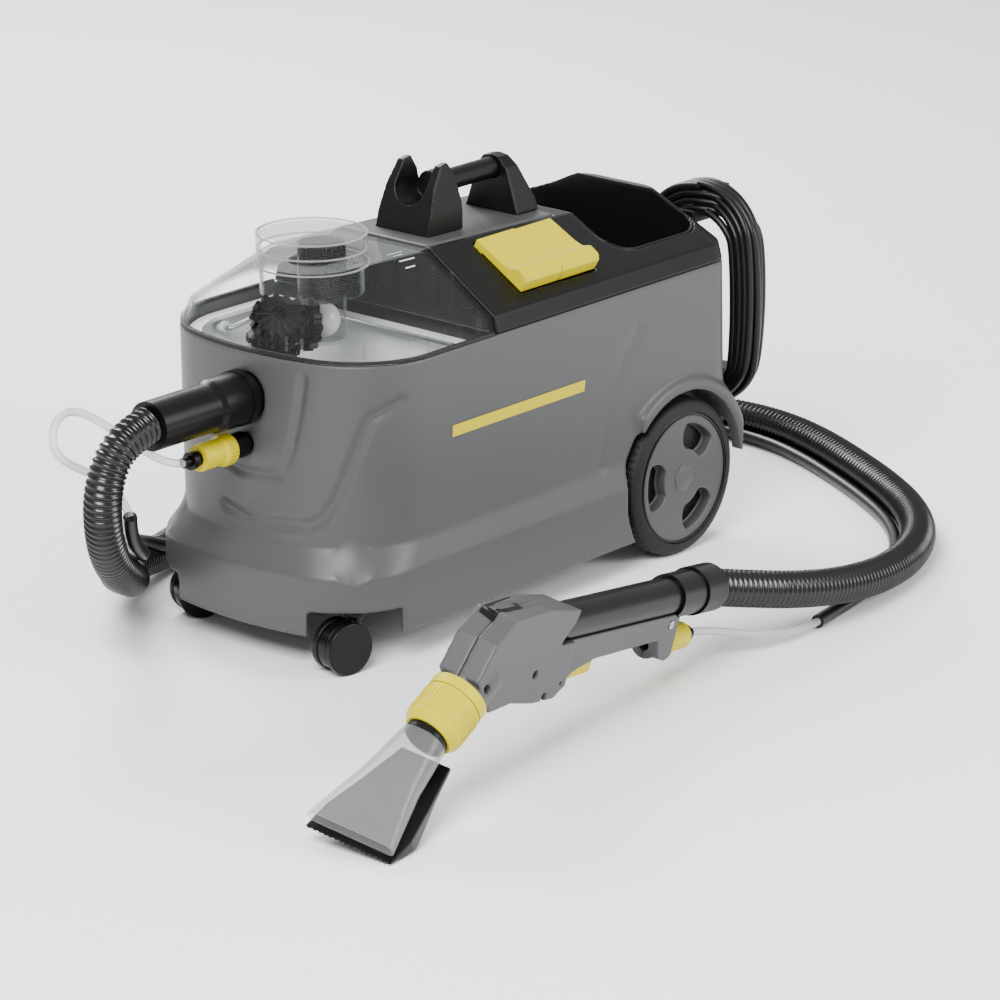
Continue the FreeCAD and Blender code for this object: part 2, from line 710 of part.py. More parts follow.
def spray_socket():
    """The stub on the nose that the spray coupling snaps over."""
    stub = rod(9.8, V(nose_x + 7.5, 0, spray_height), V(nose_x - 4.0, 0, spray_height))
    stub = stub.fuse(rod(13.0, V(nose_x - 3.5, 0, spray_height), V(nose_x - 21.5, 0, spray_height)))
    stub = stub.fuse(rod(7.0, V(nose_x - 20.0, 0, spray_height), V(nose_x - 41.0, 0, spray_height)))
    return clean(stub.cut(rod(3.0, V(nose_x - 50.0, 0, spray_height), V(nose_x + 20.0, 0, spray_height))))


def coupling_sleeve(start, way):
    """The yellow grip sleeve of a quick coupling, thicker at its two ends."""
    def at(distance):
        return start + way * distance
    sleeve = rod(15.5, at(0.0), at(12.0)).fuse(cone(15.5, 13.5, at(12.0), at(16.0)))
    sleeve = sleeve.fuse(rod(13.5, at(16.0), at(coupling_length)))
    sleeve = sleeve.cut(rod(10.0, at(-1.0), at(coupling_length - 8.0)))
    return clean(sleeve.cut(rod(7.6, at(coupling_length - 9.0), at(coupling_length + 1.0))))


def coupling_nipple(start, way):
    """The dark barb inside a quick coupling, with the nut that clamps the spray hose."""
    def at(distance):
        return start + way * distance
    end = coupling_length
    body = rod(9.7, at(1.0), at(end - 10.0)).fuse(rod(7.4, at(end - 11.0), at(end + 7.0)))
    body = body.fuse(rod(9.0, at(end + 6.0), at(end + 12.0))).fuse(rod(5.5, at(end + 11.0), at(coupling_reach)))
    return clean(body.cut(rod(7.1, at(0.0), at(20.5))).cut(rod(2.5, at(19.0), at(coupling_reach + 1.0))))


coupling_length = 42.0
coupling_reach = 62.0
machine_coupling = V(nose_x - 22.0, 0, spray_height)


# ------------------------------------------------------------------ cable outlet, hook and plug
gland_y = 60.0
gland_height = 270.0
hook_y = -72.0
hook_height = 336.0
hook_half = 12.0


def cable_gland():
    radius = cable_diameter / 2
    body = rod(10.0, V(299.0, gland_y, gland_height), V(316.0, gland_y, gland_height))
    body = body.fuse(cone(8.0, 5.6, V(316.0, gland_y, gland_height), V(332.0, gland_y, gland_height)))
    return clean(body.cut(rod(radius, V(290, gland_y, gland_height), V(340, gland_y, gland_height))))


def cable_hook():
    """The hook on the rear of the cover that the wound cable hangs on."""
    wall_x = body_rear_high + 0.4
    plate = box(wall_x, wall_x + 5.0, hook_y - 20.0, hook_y + 20.0, hook_height - 20.0, hook_height + 8.0)
    pin = rod(4.0, V(wall_x - 6.0, hook_y, hook_height - 6.0), V(wall_x + 1.0, hook_y, hook_height - 6.0))
    arm = box(wall_x + 4.0, hank_x + hank_depth / 2 + 9.0, hook_y - hook_half, hook_y + hook_half,
              hook_height - 8.0, hook_height)
    lip = box(hank_x + hank_depth / 2 + 3.0, hank_x + hank_depth / 2 + 9.0, hook_y - hook_half, hook_y + hook_half,
              hook_height - 1.0, hook_height + 24.0)
    return clean(plate.fuse(pin).fuse(arm).fuse(lip))


def ring_path(centre_y, centre_z, half_width, half_height, x):
    """An upright loop: two straight sides joined by round ends."""
    top = centre_z + half_height - half_width
    low = centre_z - half_height + half_width
    return Part.Wire([line(V(x, centre_y - half_width, top), V(x, centre_y - half_width, low)),
                      arc(V(x, centre_y - half_width, low), V(x, centre_y, low - half_width),
                          V(x, centre_y + half_width, low)),
                      line(V(x, centre_y + half_width, low), V(x, centre_y + half_width, top)),
                      arc(V(x, centre_y + half_width, top), V(x, centre_y, top + half_width),
                          V(x, centre_y - half_width, top))])


hank_half_width = 75.0
hank_half_height = 118.0
hank_thick = 28.0
hank_depth = 32.0
hank_x = 348.0
hank_y = hook_y
hank_top = hook_height + 2.3


def cable_hank():
    """The wound power cable hanging on its hook, as one solid of its outer shape."""
    centre_z = hank_top + hank_thick - hank_half_height
    outer = Part.Face(ring_path(hank_y, centre_z, hank_half_width, hank_half_height, hank_x - hank_depth / 2))
    inner = Part.Face(ring_path(hank_y, centre_z, hank_half_width - hank_thick,
                                hank_half_height - hank_thick, hank_x - hank_depth / 2))
    return clean(outer.extrude(V(hank_depth, 0, 0)).cut(inner.extrude(V(hank_depth, 0, 0))))


def mains_plug():
    """The plug at the cable's free end, hanging behind the hank's lowest turn."""
    face = hank_x + hank_depth / 2
    top = hank_top + hank_thick - 2 * hank_half_height + hank_thick
    body = rounded_box(face, face + 26.0, hank_y - 14.0, hank_y + 14.0, top - 38.0, top, 5.0)
    pins = rod(2.4, V(face + 13.0, hank_y - 9.5, top - 37.0), V(face + 13.0, hank_y - 9.5, top - 56.0))
    pins = pins.fuse(rod(2.4, V(face + 13.0, hank_y + 9.5, top - 37.0), V(face + 13.0, hank_y + 9.5, top - 56.0)))
    return clean(body.fuse(pins))


# ------------------------------------------------------------------ cords
def route_wire(points, report=None):
    """Straight runs joined by tangent arcs, each as large as its two runs allow."""
    edges = []
    start = points[0]
    for before, corner, after in zip(points[:-2], points[1:-1], points[2:]):
        one = (before - corner)
        two = (after - corner)
        short = min(one.Length, two.Length)
        half_turn = (pi - one.getAngle(two)) / 2.0
        radius = 0.45 * short / tan(half_turn)
        one = one.normalize()
        two = two.normalize()
        setback = 0.45 * short
        bisector = (one + two).normalize()
        first = corner + one * setback
        last = corner + two * setback
        middle = corner + bisector * (radius / cos(half_turn) - radius)
        edges.append(line(start, first))
        edges.append(arc(first, middle, last))
        if report is not None:
            report.append(radius)
        start = last
    edges.append(line(start, points[-1]))
    return Part.Wire(edges)


def cord(name, points, diameter):
    """A cord's round solid along its route; prints its length and arc radii."""
    radii = []
    path = route_wire(points, radii)
    way = points[1] - points[0]
    circle = Part.Wire([Part.Circle(points[0], way, diameter / 2.0).toShape()])
    solid = path.makePipeShell([circle], True, False)
    section = pi * diameter * diameter / 4.0
    print(name, "length", round(path.Length), "volume ratio", round(solid.Volume / (section * path.Length), 4),
          "least radius in diameters", round(min(radii) / diameter, 1), [round(r) for r in radii])
    return solid


cuff_length = 118.0
wand_cuff_length = 79.0
hose_start = V(body_front_low - 12.0 - cuff_length, 0, port_height + 2.0)

hose_route = [hose_start, V(-440, 1, 258), V(-460, 4, 240), V(-469, 9, 208), V(-461, 18, 168),
              V(-438, 34, 128), V(-396, 60, 94), V(-344, 94, 68), V(-308, 162, 50), V(-238, 204, 32),
              V(-168, 228, 22), V(-96, 256, 20), V(-22, 284, 20), V(56, 310, 20), V(136, 330, 20),
              V(218, 342, 20), V(298, 342, 20), V(374, 328, 20), V(440, 298, 20), V(496, 252, 20),
              V(540, 198, 20), V(574, 138, 20), V(594, 72, 20), V(592, 2, 20), V(568, -70, 20),
              V(532, -142, 20), V(494, -210, 20), V(448, -276, 20), V(388, -332, 21), V(316, -370, 23),
              V(240, -390, 28), V(166, -397, 38), V(100, -396, 51), V(44, -388, 64)]


def wand_place():
    turn = FreeCAD.Rotation(Z, wand_yaw)
    tilt = FreeCAD.Rotation(Y, wand_pitch)
    roll = FreeCAD.Rotation(X, wand_roll)
    return FreeCAD.Placement(wand_end, turn.multiply(tilt).multiply(roll))


def wand_point(x, y, z):
    return wand_place().multVec(V(x, y, z))


def suction_hose():
    points = hose_route + [wand_point(wand_cuff_length, 0, 0)]
    return cord("suction_hose", points, hose_diameter)


def hose_cuff_machine():
    """The two-step cuff that pushes the hose into the machine's port."""
    start = body_front_low - 12.5
    def at(x):
        return V(x, 0, port_height)
    cuff = rod(27.0, at(start), at(start - 34.0)).fuse(cone(27.0, 24.5, at(start - 34.0), at(start - 40.0)))
    cuff = cuff.fuse(rod(24.5, at(start - 40.0), V(hose_start.x, 0, port_height)))
    spigot = rod(port_bore - 0.1, at(start - 1.0), at(start + 14.0))
    cuff = cuff.fuse(spigot)
    return clean(cuff.cut(rod(port_bore - 3.0, at(start + 40.0), at(start - 140.0))))


def hose_cuff_wand():
    """The two-step cuff between the hose and the wand's tube."""
    cuff = rod(22.0, V(-4, 0, 0), V(42, 0, 0)).fuse(rod(24.0, V(41, 0, 0), V(wand_cuff_length, 0, 0)))
    cuff = cuff.cut(rod(wand_tube_radius + 0.2, V(-5, 0, 0), V(8.4, 0, 0)))
    cuff = cuff.cut(rod(port_bore, V(0, 0, 0), V(wand_cuff_length + 1, 0, 0)))
    cuff.Placement = wand_place()
    return clean(cuff)



sheath_first = [V(-428, 14, 172), V(-416, 26, 143), V(-376, 46, 112), V(-339, 95, 97), V(-306, 161, 78),
                V(-240, 202, 60), V(-178, 198, 34)]
sheath_last = [V(258, -368, 8), V(204, -380, 8), V(164, -386, 8), V(130, -392, 8)]


def sheath_route():
    """The smooth sleeve that carries the spray hose along the inner side of the suction hose."""
    offset = (hose_diameter + sheath_diameter) / 2.0 + 1.2
    low = sheath_diameter / 2.0 + 1.0
    points = list(sheath_first)
    for before, here, after in zip(hose_route[10:29], hose_route[11:30], hose_route[12:31]):
        way = after - before
        side = V(way.y, -way.x, 0).normalize()
        reach = sqrt(offset ** 2 - (here.z - low) ** 2)
        points.append(V(here.x, here.y, low) + side * reach)
    return points + sheath_last


def sheath():
    return cord("sheath", sheath_route(), sheath_diameter)


def spray_hose_front():
    """The clear spray hose from the machine's coupling round to the sleeve."""
    first = machine_coupling - X * coupling_reach
    points = [first, first + V(-16, 2, 3), V(-399, 12, 227), V(-412, 34, 242), V(-427, 50, 259),
              V(-449, 57, 274), V(-474, 55, 279), V(-494, 48, 270), V(-500, 42, 252), V(-488, 39, 236),
              V(-464, 39, 222), V(-440, 36, 208), V(-428, 26, 192)]
    return cord("spray_hose_front", points + [sheath_route()[0]], spray_diameter)


def wand_coupling_at(distance):
    start = wand_point(3.5, 0, wand_coupling_z)
    way = wand_point(4.5, 0, wand_coupling_z) - start
    return start + way * distance


def spray_hose_rear():
    """The clear spray hose from the sleeve to the wand's coupling."""
    last = wand_coupling_at(coupling_reach)
    way = wand_coupling_way()
    points = [sheath_route()[-1], V(98, -396, 9), V(62, -394, 14), V(26, -388, 22), last + way * 22.0, last]
    return cord("spray_hose_rear", points, spray_diameter)


def power_cable():
    """The stretch of power cable from its gland to the wound hank."""
    side = hank_y + hank_half_width
    points = [V(332.0, gland_y, gland_height), V(358, gland_y, 268), V(378, gland_y - 4, 252),
              V(384, gland_y - 14, 226), V(376, gland_y - 30, 206), V(362, side + 8, 208), V(350, side + 0.2, 228)]
    return cord("power_cable", points, cable_diameter)


# ------------------------------------------------------------------ hand wand, modelled along its own axes
wand_coupling_z = -46.0
head_back = -208.0
nut_start = V(-356.0, 0, -50.0)
nut_length = 54.0
nut_radius = 28.5
neck_radius = 21.0
nozzle_length = 124.0
nozzle_half = 47.0
shell_split_gap = 0.15


def bend_way():
    angle = radians(wand_bend)
    return V(-cos(angle), 0, -sin(angle))


def bend_up():
    angle = radians(wand_bend)
    return V(-sin(angle), 0, cos(angle))


def placed(shape):
    shape.Placement = wand_place()
    return shape


def wand_outline():
    """Side outline of the two grey shells: head, trigger housing and the long lower grip."""
    return [V(-370, 0, -30), V(-352, 0, 4), V(-326, 0, 25), V(-270, 0, 28), V(head_back, 0, 20),
            V(-214, 0, 8), V(-232, 0, -12), V(-6, 0, -12), V(3, 0, -12), V(3, 0, -56), V(-8, 0, -60),
            V(-22, 0, -56), V(-32, 0, -36), V(-150, 0, -38), V(-186, 0, -46), V(-208, 0, -58),
            V(-222, 0, -66), V(-258, 0, -66), V(-300, 0, -60), V(-336, 0, -64)]


def wand_block(half):
    points = wand_outline()
    face = Part.Face(Part.makePolygon(points + points[:1]))
    face.translate(V(0, -half, 0))
    return face.extrude(V(0, 2 * half, 0))


def wand_shell(side):
    """One half of the grey wand body, split down the middle."""
    half = wand_tube_radius + 3.0
    block = wand_block(half)
    slim = box(head_back + 4.0, 10, -half - 1, half + 1, -80, -11.0)
    slim = slim.cut(box(-240, 12, -wand_tube_radius + 1.5, wand_tube_radius - 1.5, -80, -10))
    block = block.cut(slim)
    collar = rod(nut_radius - 4.0, nut_start - bend_way() * 30.0, nut_start + bend_way() * 1.0)
    block = block.fuse(collar)
    block = block.fuse(rod(15.0, V(-24, 0, wand_coupling_z), V(1.5, 0, wand_coupling_z)))
    mouth = V(nut_start.x, 0, nut_start.z)
    bore = rod(wand_tube_radius, V(-262, 0, 0), V(20, 0, 0)).fuse(Part.makeSphere(wand_tube_radius - 1.0, V(-264, 0, 0)))
    bore = bore.fuse(rod(wand_tube_radius - 3.0, V(-262, 0, -1), mouth + bend_way() * 4.0))
    window = box(-318.0, -232.0, -9.0, 9.0, 24.0, 40.0)
    valve = box(-226.0, -196.0, -8.6, 8.6, -80.0, -22.0).fuse(box(-200.0, -135.0, -8.6, 8.6, -70.0, -27.0))
    feed = rod(4.0, V(-198.0, 0, -30.0), V(-10, 0, -30.0)).fuse(rod(6.0, V(-30, 0, wand_coupling_z), V(8, 0, wand_coupling_z)))
    pin_hole = rod(trigger_pin_radius, V(trigger_pivot.x, -60, trigger_pivot.z), V(trigger_pivot.x, 60, trigger_pivot.z))
    cuff_room = rod(22.4, V(-5.0, 0, 0), V(20.0, 0, 0))
    block = block.cut(bore).cut(cuff_room).cut(window).cut(valve).cut(feed).cut(pin_hole)
    for spot in wand_screw_spots:
        recess = rod(4.2, V(spot.x, -60, spot.z), V(spot.x, -(wand_tube_radius - 4.0), spot.z))
        block = block.cut(recess)
    if side < 0:
        keep = box(-420, 60, -80, -shell_split_gap, -120, 80)
    else:
        keep = box(-420, 60, 0.0, 80, -120, 80)
    return placed(clean(block.common(keep)))


wand_screw_spots = [V(-267.0, 0, -36.0), V(-240.0, 0, -62.0), V(-12.0, 0, -22.0), V(-352.0, 0, -38.0)]
trigger_pivot = V(-214.0, 0, -52.0)
trigger_pin_radius = 2.0


def wand_screws():
    """The screws that hold the wand's two shells together, all in one node."""
    screws = []
    for spot in wand_screw_spots:
        head = rod(4.1, V(spot.x, -(wand_tube_radius - 1.0), spot.z), V(spot.x, -(wand_tube_radius - 4.0), spot.z))
        slot = box(spot.x - 3.0, spot.x + 3.0, -(wand_tube_radius + 1.0), -(wand_tube_radius - 2.0), spot.z - 0.5, spot.z + 0.5)
        screws.append(head.cut(slot))
    return placed(Part.makeCompound(screws))


def wand_tube():
    """The black suction tube of the wand."""
    body = tube(wand_tube_radius - 0.05, wand_tube_radius - 2.5, V(-wand_tube_length, 0, 0), V(8.0, 0, 0))
    return placed(body)


def trigger():
    """The yellow finger lever under the grip, hinged at its front end."""
    outline = [V(-220, 0, -47), V(-208, 0, -46), V(-200, 0, -44), V(-140, 0, -38), V(-136, 0, -40),
               V(-138, 0, -56), V(-176, 0, -58), V(-198, 0, -68), V(-210, 0, -72), V(-218, 0, -60)]
    face = Part.Face(Part.makePolygon(outline + outline[:1]))
    face.translate(V(0, -8.0, 0))
    lever = face.extrude(V(0, 16.0, 0))
    hole = rod(trigger_pin_radius + running_fit, V(trigger_pivot.x, -20, trigger_pivot.z), V(trigger_pivot.x, 20, trigger_pivot.z))
    return placed(clean(lever.cut(hole)))


def trigger_pin():
    half = wand_tube_radius - 2.5
    return placed(rod(trigger_pin_radius, V(trigger_pivot.x, -half, trigger_pivot.z), V(trigger_pivot.x, half, trigger_pivot.z)))


def union_nut():
    """The big yellow nut that clamps the nozzle to the wand's collar."""
    way = bend_way()
    def at(distance):
        return nut_start + way * distance
    nut = rod(nut_radius, at(1.5), at(12.0)).fuse(rod(nut_radius - 1.5, at(11.0), at(15.0)))
    nut = nut.fuse(rod(nut_radius, at(14.0), at(nut_length - 8.0)))
    nut = nut.fuse(cone(nut_radius, nut_radius - 5.0, at(nut_length - 8.0), at(nut_length)))
    nut = nut.cut(rod(neck_radius + running_fit + 0.3, at(0.0), at(nut_length + 1.0)))
    return placed(clean(nut))


def nozzle_neck():
    """The dark neck inside the nut that joins the wand to the nozzle."""
    way = bend_way()
    def at(distance):
        return nut_start + way * distance
    neck = tube(neck_radius, neck_radius - 3.0, at(1.5), at(nut_length + 6.0))
    return placed(neck)


def nozzle_wire(distance, half_wide, half_high):
    """A rounded slot section of the nozzle, square to its axis."""
    centre = nut_start + bend_way() * distance
    up = bend_up()
    radius = half_high
    flat = half_wide - radius
    def at(across, high):
        return centre + V(0, across, 0) + up * high
    edges = [line(at(-flat, -radius), at(flat, -radius)),
             arc(at(flat, -radius), at(flat + radius, 0), at(flat, radius)),
             line(at(flat, radius), at(-flat, radius)),
             arc(at(-flat, radius), at(-flat - radius, 0), at(-flat, -radius))]
    return Part.Wire(edges)


nozzle_start = nut_length + 6.5


def nozzle_cover():
    """The clear fan-shaped head of the nozzle, open at its neck and its mouth."""
    end = nozzle_start + nozzle_length - 8.0
    outer = loft([nozzle_wire(nozzle_start, neck_radius + 2.0, neck_radius - 2.0),
                  nozzle_wire(nozzle_start + 50.0, neck_radius + 9.0, 15.0),
                  nozzle_wire(end, nozzle_half, 8.0)])
    inner = loft([nozzle_wire(nozzle_start - 0.2, neck_radius, neck_radius - 4.0),
                  nozzle_wire(nozzle_start + 50.0, neck_radius + 7.0, 13.0),
                  nozzle_wire(end + 0.2, nozzle_half - 2.0, 6.0)])
    lid = outer.cut(inner)
    return placed(clean(lid))


def nozzle_plate():
    """The black back plate and lip behind the clear head."""
    way = bend_way()
    up = bend_up()
    def at(distance, high):
        return nut_start + way * distance + up * high
    end = nozzle_start + nozzle_length
    outline = [at(nozzle_start + 2.0, -neck_radius), at(nozzle_start + 52.0, -17.5), at(end - 10.0, -9.5),
               at(end + 1.0, -8.0), at(end - 6.0, -12.0), at(end - 20.0, -21.0), at(end - 38.0, -30.5),
               at(end - 58.0, -29.0), at(nozzle_start + 40.0, -25.0), at(nozzle_start + 2.0, -neck_radius - 4.0)]
    face = Part.Face(Part.makePolygon(outline + outline[:1]))
    face.translate(V(0, -nozzle_half, 0))
    block = face.extrude(V(0, 2 * nozzle_half, 0))
    for side in (-1, 1):
        near = side * (neck_radius + 1.0)
        far = side * (nozzle_half + 0.5)
        wedge = [at(nozzle_start - 20.0, -60) + V(0, near, 0), at(end - 30.0, -60) + V(0, far, 0),
                 at(nozzle_start - 20.0, -60) + V(0, side * 90.0, 0)]
        cut = Part.Face(Part.makePolygon(wedge + wedge[:1])).extrude(up * 80.0)
        block = block.cut(cut)
    return placed(clean(block))


def wand_coupling_start():
    return wand_coupling_at(0.0)


def wand_coupling_way():
    return (wand_coupling_at(1.0) - wand_coupling_at(0.0)).normalize()


nodes = {
    "body_housing": body_housing,
    "under_plate": under_plate,
    "top_cover": top_cover,
    "centre_panel": centre_panel,
    "storage_tray": storage_tray,
    "fork_support": fork_support,
    "rear_support": rear_support,
    "grip_bar": grip_bar,
    "lid_gasket": lid_gasket,
    "clear_lid": clear_lid,
    "recovery_tank": recovery_tank,
    "tank_bail": tank_bail,
    "suction_port": suction_port,
    "inlet_elbow": inlet_elbow,
    "float_cage": float_cage,
    "float_ball": float_ball,
    "turbine_housing": turbine_housing,
    "impeller": impeller,
    "motor_can": motor_can,
    "pump_body": pump_body,
    "rear_axle": rear_axle,
    "wheel_disc_near": lambda: wheel_disc(-1),
    "wheel_disc_far": lambda: wheel_disc(1),
    "tyre_near": lambda: tyre(-1),
    "tyre_far": lambda: tyre(1),
    "castor_hood_near": lambda: castor_hood(-1),
    "castor_hood_far": lambda: castor_hood(1),
    "castor_wheels_near": lambda: castor_wheels(-1),
    "castor_wheels_far": lambda: castor_wheels(1),
    "castor_axle_near": lambda: castor_axle(-1),
    "castor_axle_far": lambda: castor_axle(1),
    "switch_rocker_front": lambda: switch_rocker(0),
    "switch_rocker_back": lambda: switch_rocker(1),
    "switch_rod": switch_rod,
    "spray_socket": spray_socket,
    "coupling_sleeve_machine": lambda: coupling_sleeve(machine_coupling, -X),
    "coupling_nipple_machine": lambda: coupling_nipple(machine_coupling, -X),
    "coupling_sleeve_wand": lambda: coupling_sleeve(wand_coupling_start(), wand_coupling_way()),
    "coupling_nipple_wand": lambda: coupling_nipple(wand_coupling_start(), wand_coupling_way()),
    "cable_gland": cable_gland,
    "cable_hook": cable_hook,
    "cable_hank": cable_hank,
    "mains_plug": mains_plug,
    "power_cable": power_cable,
    "hose_cuff_machine": hose_cuff_machine,
    "hose_cuff_wand": hose_cuff_wand,
    "suction_hose": suction_hose,
    "sheath": sheath,
    "spray_hose_front": spray_hose_front,
    "spray_hose_rear": spray_hose_rear,
    "wand_shell_near": lambda: wand_shell(-1),
    "wand_shell_far": lambda: wand_shell(1),
    "wand_screws": wand_screws,
    "wand_tube": wand_tube,
    "trigger": trigger,
    "trigger_pin": trigger_pin,
    "union_nut": union_nut,
    "nozzle_neck": nozzle_neck,
    "nozzle_cover": nozzle_cover,
    "nozzle_plate": nozzle_plate,
}

os.makedirs("parts", exist_ok=True)
for name, make in nodes.items():
    shape = make()
    print(name, "solids", len(shape.Solids), "valid", shape.isValid(), "volume", round(shape.Volume))
    shape.exportStep("parts/" + name + ".step")
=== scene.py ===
# %% [markdown]
# # A wheeled spray extraction machine with its hand wand
# The machine washes carpets and seats: it sprays water from the wand's nozzle and sucks the dirty water
# back through a ribbed hose into a tank under a clear lid. The CAD frame gives every part its place and
# its joints. This scene dresses that frame: real finishes, and the soft edges, ribs and turns of cable
# that the plain solids leave out. All lengths are in metres.

# %% Tools and frame
import json
import math

import bmesh
import bpy
import numpy as np
from mathutils import Matrix, Vector
from mathutils.bvhtree import BVHTree


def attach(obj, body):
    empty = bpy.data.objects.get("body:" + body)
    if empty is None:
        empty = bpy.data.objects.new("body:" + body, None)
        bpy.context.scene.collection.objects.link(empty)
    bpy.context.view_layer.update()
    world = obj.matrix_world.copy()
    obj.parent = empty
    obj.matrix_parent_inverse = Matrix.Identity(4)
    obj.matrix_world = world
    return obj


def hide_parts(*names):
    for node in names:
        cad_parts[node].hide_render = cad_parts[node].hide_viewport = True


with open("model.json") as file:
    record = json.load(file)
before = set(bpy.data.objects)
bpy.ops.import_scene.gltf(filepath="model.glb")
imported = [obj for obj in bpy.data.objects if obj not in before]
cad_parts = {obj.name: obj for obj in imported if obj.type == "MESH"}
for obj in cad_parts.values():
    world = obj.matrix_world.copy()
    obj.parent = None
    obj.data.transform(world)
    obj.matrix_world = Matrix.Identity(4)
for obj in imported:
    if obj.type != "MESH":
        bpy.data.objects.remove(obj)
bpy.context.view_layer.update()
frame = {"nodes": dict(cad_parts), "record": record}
nodes = frame["nodes"]

# %% [markdown]
# ## Camera, floor and light
# The machine is seen from its front left, a little from above, with a long lens that keeps it almost
# free of perspective. A pale floor runs far behind it, and large soft lamps give broad highlights.

# %% Camera
camera = bpy.data.objects.new("camera", bpy.data.cameras.new("camera"))
bpy.context.collection.objects.link(camera)
camera.location = (-3.4966, -3.0791, 1.6299)
aim = Vector((0.10, 0.0, 0.0589)) - camera.location
camera.rotation_euler = aim.to_track_quat("-Z", "Y").to_euler()
camera.data.lens = 172.34
camera.data.sensor_width = 36
bpy.context.scene.camera = camera

# %% Floor and lamps
floor_mesh = bpy.data.meshes.new("floor")
floor_mesh.from_pydata([(-40, -40, 0), (40, -40, 0), (40, 40, 0), (-40, 40, 0)], [], [(0, 1, 2, 3)])
floor = bpy.data.objects.new("floor", floor_mesh)
bpy.context.collection.objects.link(floor)
paper = bpy.data.materials.new("studio_floor")
paper.use_nodes = True
paper.node_tree.nodes["Principled BSDF"].inputs["Base Color"].default_value = (0.93, 0.93, 0.93, 1)
paper.node_tree.nodes["Principled BSDF"].inputs["Roughness"].default_value = 0.9
floor_mesh.materials.append(paper)

world = bpy.data.worlds.new("studio")
world.use_nodes = True
world.node_tree.nodes["Background"].inputs["Color"].default_value = (1, 1, 1, 1)
world.node_tree.nodes["Background"].inputs["Strength"].default_value = 0.75
bpy.context.scene.world = world


def lamp(name, place, target, width, power):
    """A square soft lamp that faces a point."""
    data = bpy.data.lights.new(name, "AREA")
    data.shape = "SQUARE"
    data.size = width
    data.energy = power
    item = bpy.data.objects.new(name, data)
    bpy.context.collection.objects.link(item)
    item.location = place
    item.rotation_euler = (Vector(target) - Vector(place)).to_track_quat("-Z", "Y").to_euler()


lamp("key_lamp", (-2.6, -1.2, 2.8), (0, 0, 0.2), 1.8, 250)
lamp("side_lamp", (1.5, -3.2, 1.6), (0.1, 0, 0.15), 1.6, 110)
lamp("back_lamp", (1.2, 2.4, 2.4), (0, 0, 0.3), 1.6, 150)

# %% [markdown]
# ## Finishes
# Moulded plastic gets its look from the mould: a fine spark-eroded grain on the grey and black shells, a
# polished face on the yellow grips. One node group makes that grain, and a second one finds sharp edges,
# which the finishes paint lighter: partly rubbed wear, partly a painted highlight where edges catch light.
# Each gives only values, so any material can use them.

# %% Shared node groups


def group_socket(tree, name, way, kind, value=None):
    """One named input or output of a node group."""
    socket = tree.interface.new_socket(name, in_out=way, socket_type=kind)
    if value is not None:
        socket.default_value = value
    return socket


def make_grain_group():
    """Fine moulded grain: a height for bump, and a slow drift of roughness and tone."""
    tree = bpy.data.node_groups.new("moulded_grain", "ShaderNodeTree")
    group_socket(tree, "Grain Scale", "INPUT", "NodeSocketFloat", 900.0)
    group_socket(tree, "Drift Scale", "INPUT", "NodeSocketFloat", 6.0)
    group_socket(tree, "Height", "OUTPUT", "NodeSocketFloat")
    group_socket(tree, "Drift", "OUTPUT", "NodeSocketFloat")
    ins = tree.nodes.new("NodeGroupInput")
    outs = tree.nodes.new("NodeGroupOutput")
    place = tree.nodes.new("ShaderNodeTexCoord")
    grain = tree.nodes.new("ShaderNodeTexNoise")
    grain.inputs["Detail"].default_value = 3.0
    drift = tree.nodes.new("ShaderNodeTexNoise")
    drift.inputs["Detail"].default_value = 4.0
    tree.links.new(place.outputs["Object"], grain.inputs["Vector"])
    tree.links.new(place.outputs["Object"], drift.inputs["Vector"])
    tree.links.new(ins.outputs["Grain Scale"], grain.inputs["Scale"])
    tree.links.new(ins.outputs["Drift Scale"], drift.inputs["Scale"])
    tree.links.new(grain.outputs["Fac"], outs.inputs["Height"])
    tree.links.new(drift.outputs["Fac"], outs.inputs["Drift"])
    return tree


def make_edge_group():
    """A mask that is 1 on sharp outer edges and 0 elsewhere, broken up by noise."""
    # The finishes use this mask to paint sharp edges lighter: partly rubbed wear, partly a painted highlight.
    tree = bpy.data.node_groups.new("wear_and_highlight_edges", "ShaderNodeTree")
    group_socket(tree, "Amount", "INPUT", "NodeSocketFloat", 0.5)
    group_socket(tree, "Mask", "OUTPUT", "NodeSocketFloat")
    ins = tree.nodes.new("NodeGroupInput")
    outs = tree.nodes.new("NodeGroupOutput")
    shape = tree.nodes.new("ShaderNodeNewGeometry")
    ramp = tree.nodes.new("ShaderNodeMapRange")
    ramp.inputs["From Min"].default_value = 0.52
    ramp.inputs["From Max"].default_value = 0.62
    place = tree.nodes.new("ShaderNodeTexCoord")
    noise = tree.nodes.new("ShaderNodeTexNoise")
    noise.inputs["Scale"].default_value = 60.0
    first = tree.nodes.new("ShaderNodeMath")
    first.operation = "MULTIPLY"
    second = tree.nodes.new("ShaderNodeMath")
    second.operation = "MULTIPLY"
    tree.links.new(shape.outputs["Pointiness"], ramp.inputs["Value"])
    tree.links.new(place.outputs["Object"], noise.inputs["Vector"])
    tree.links.new(ramp.outputs["Result"], first.inputs[0])
    tree.links.new(noise.outputs["Fac"], first.inputs[1])
    tree.links.new(first.outputs["Value"], second.inputs[0])
    tree.links.new(ins.outputs["Amount"], second.inputs[1])
    tree.links.new(second.outputs["Value"], outs.inputs["Mask"])
    return tree


grain_group = make_grain_group()
edge_group = make_edge_group()

# %% Moulded plastic and rubber


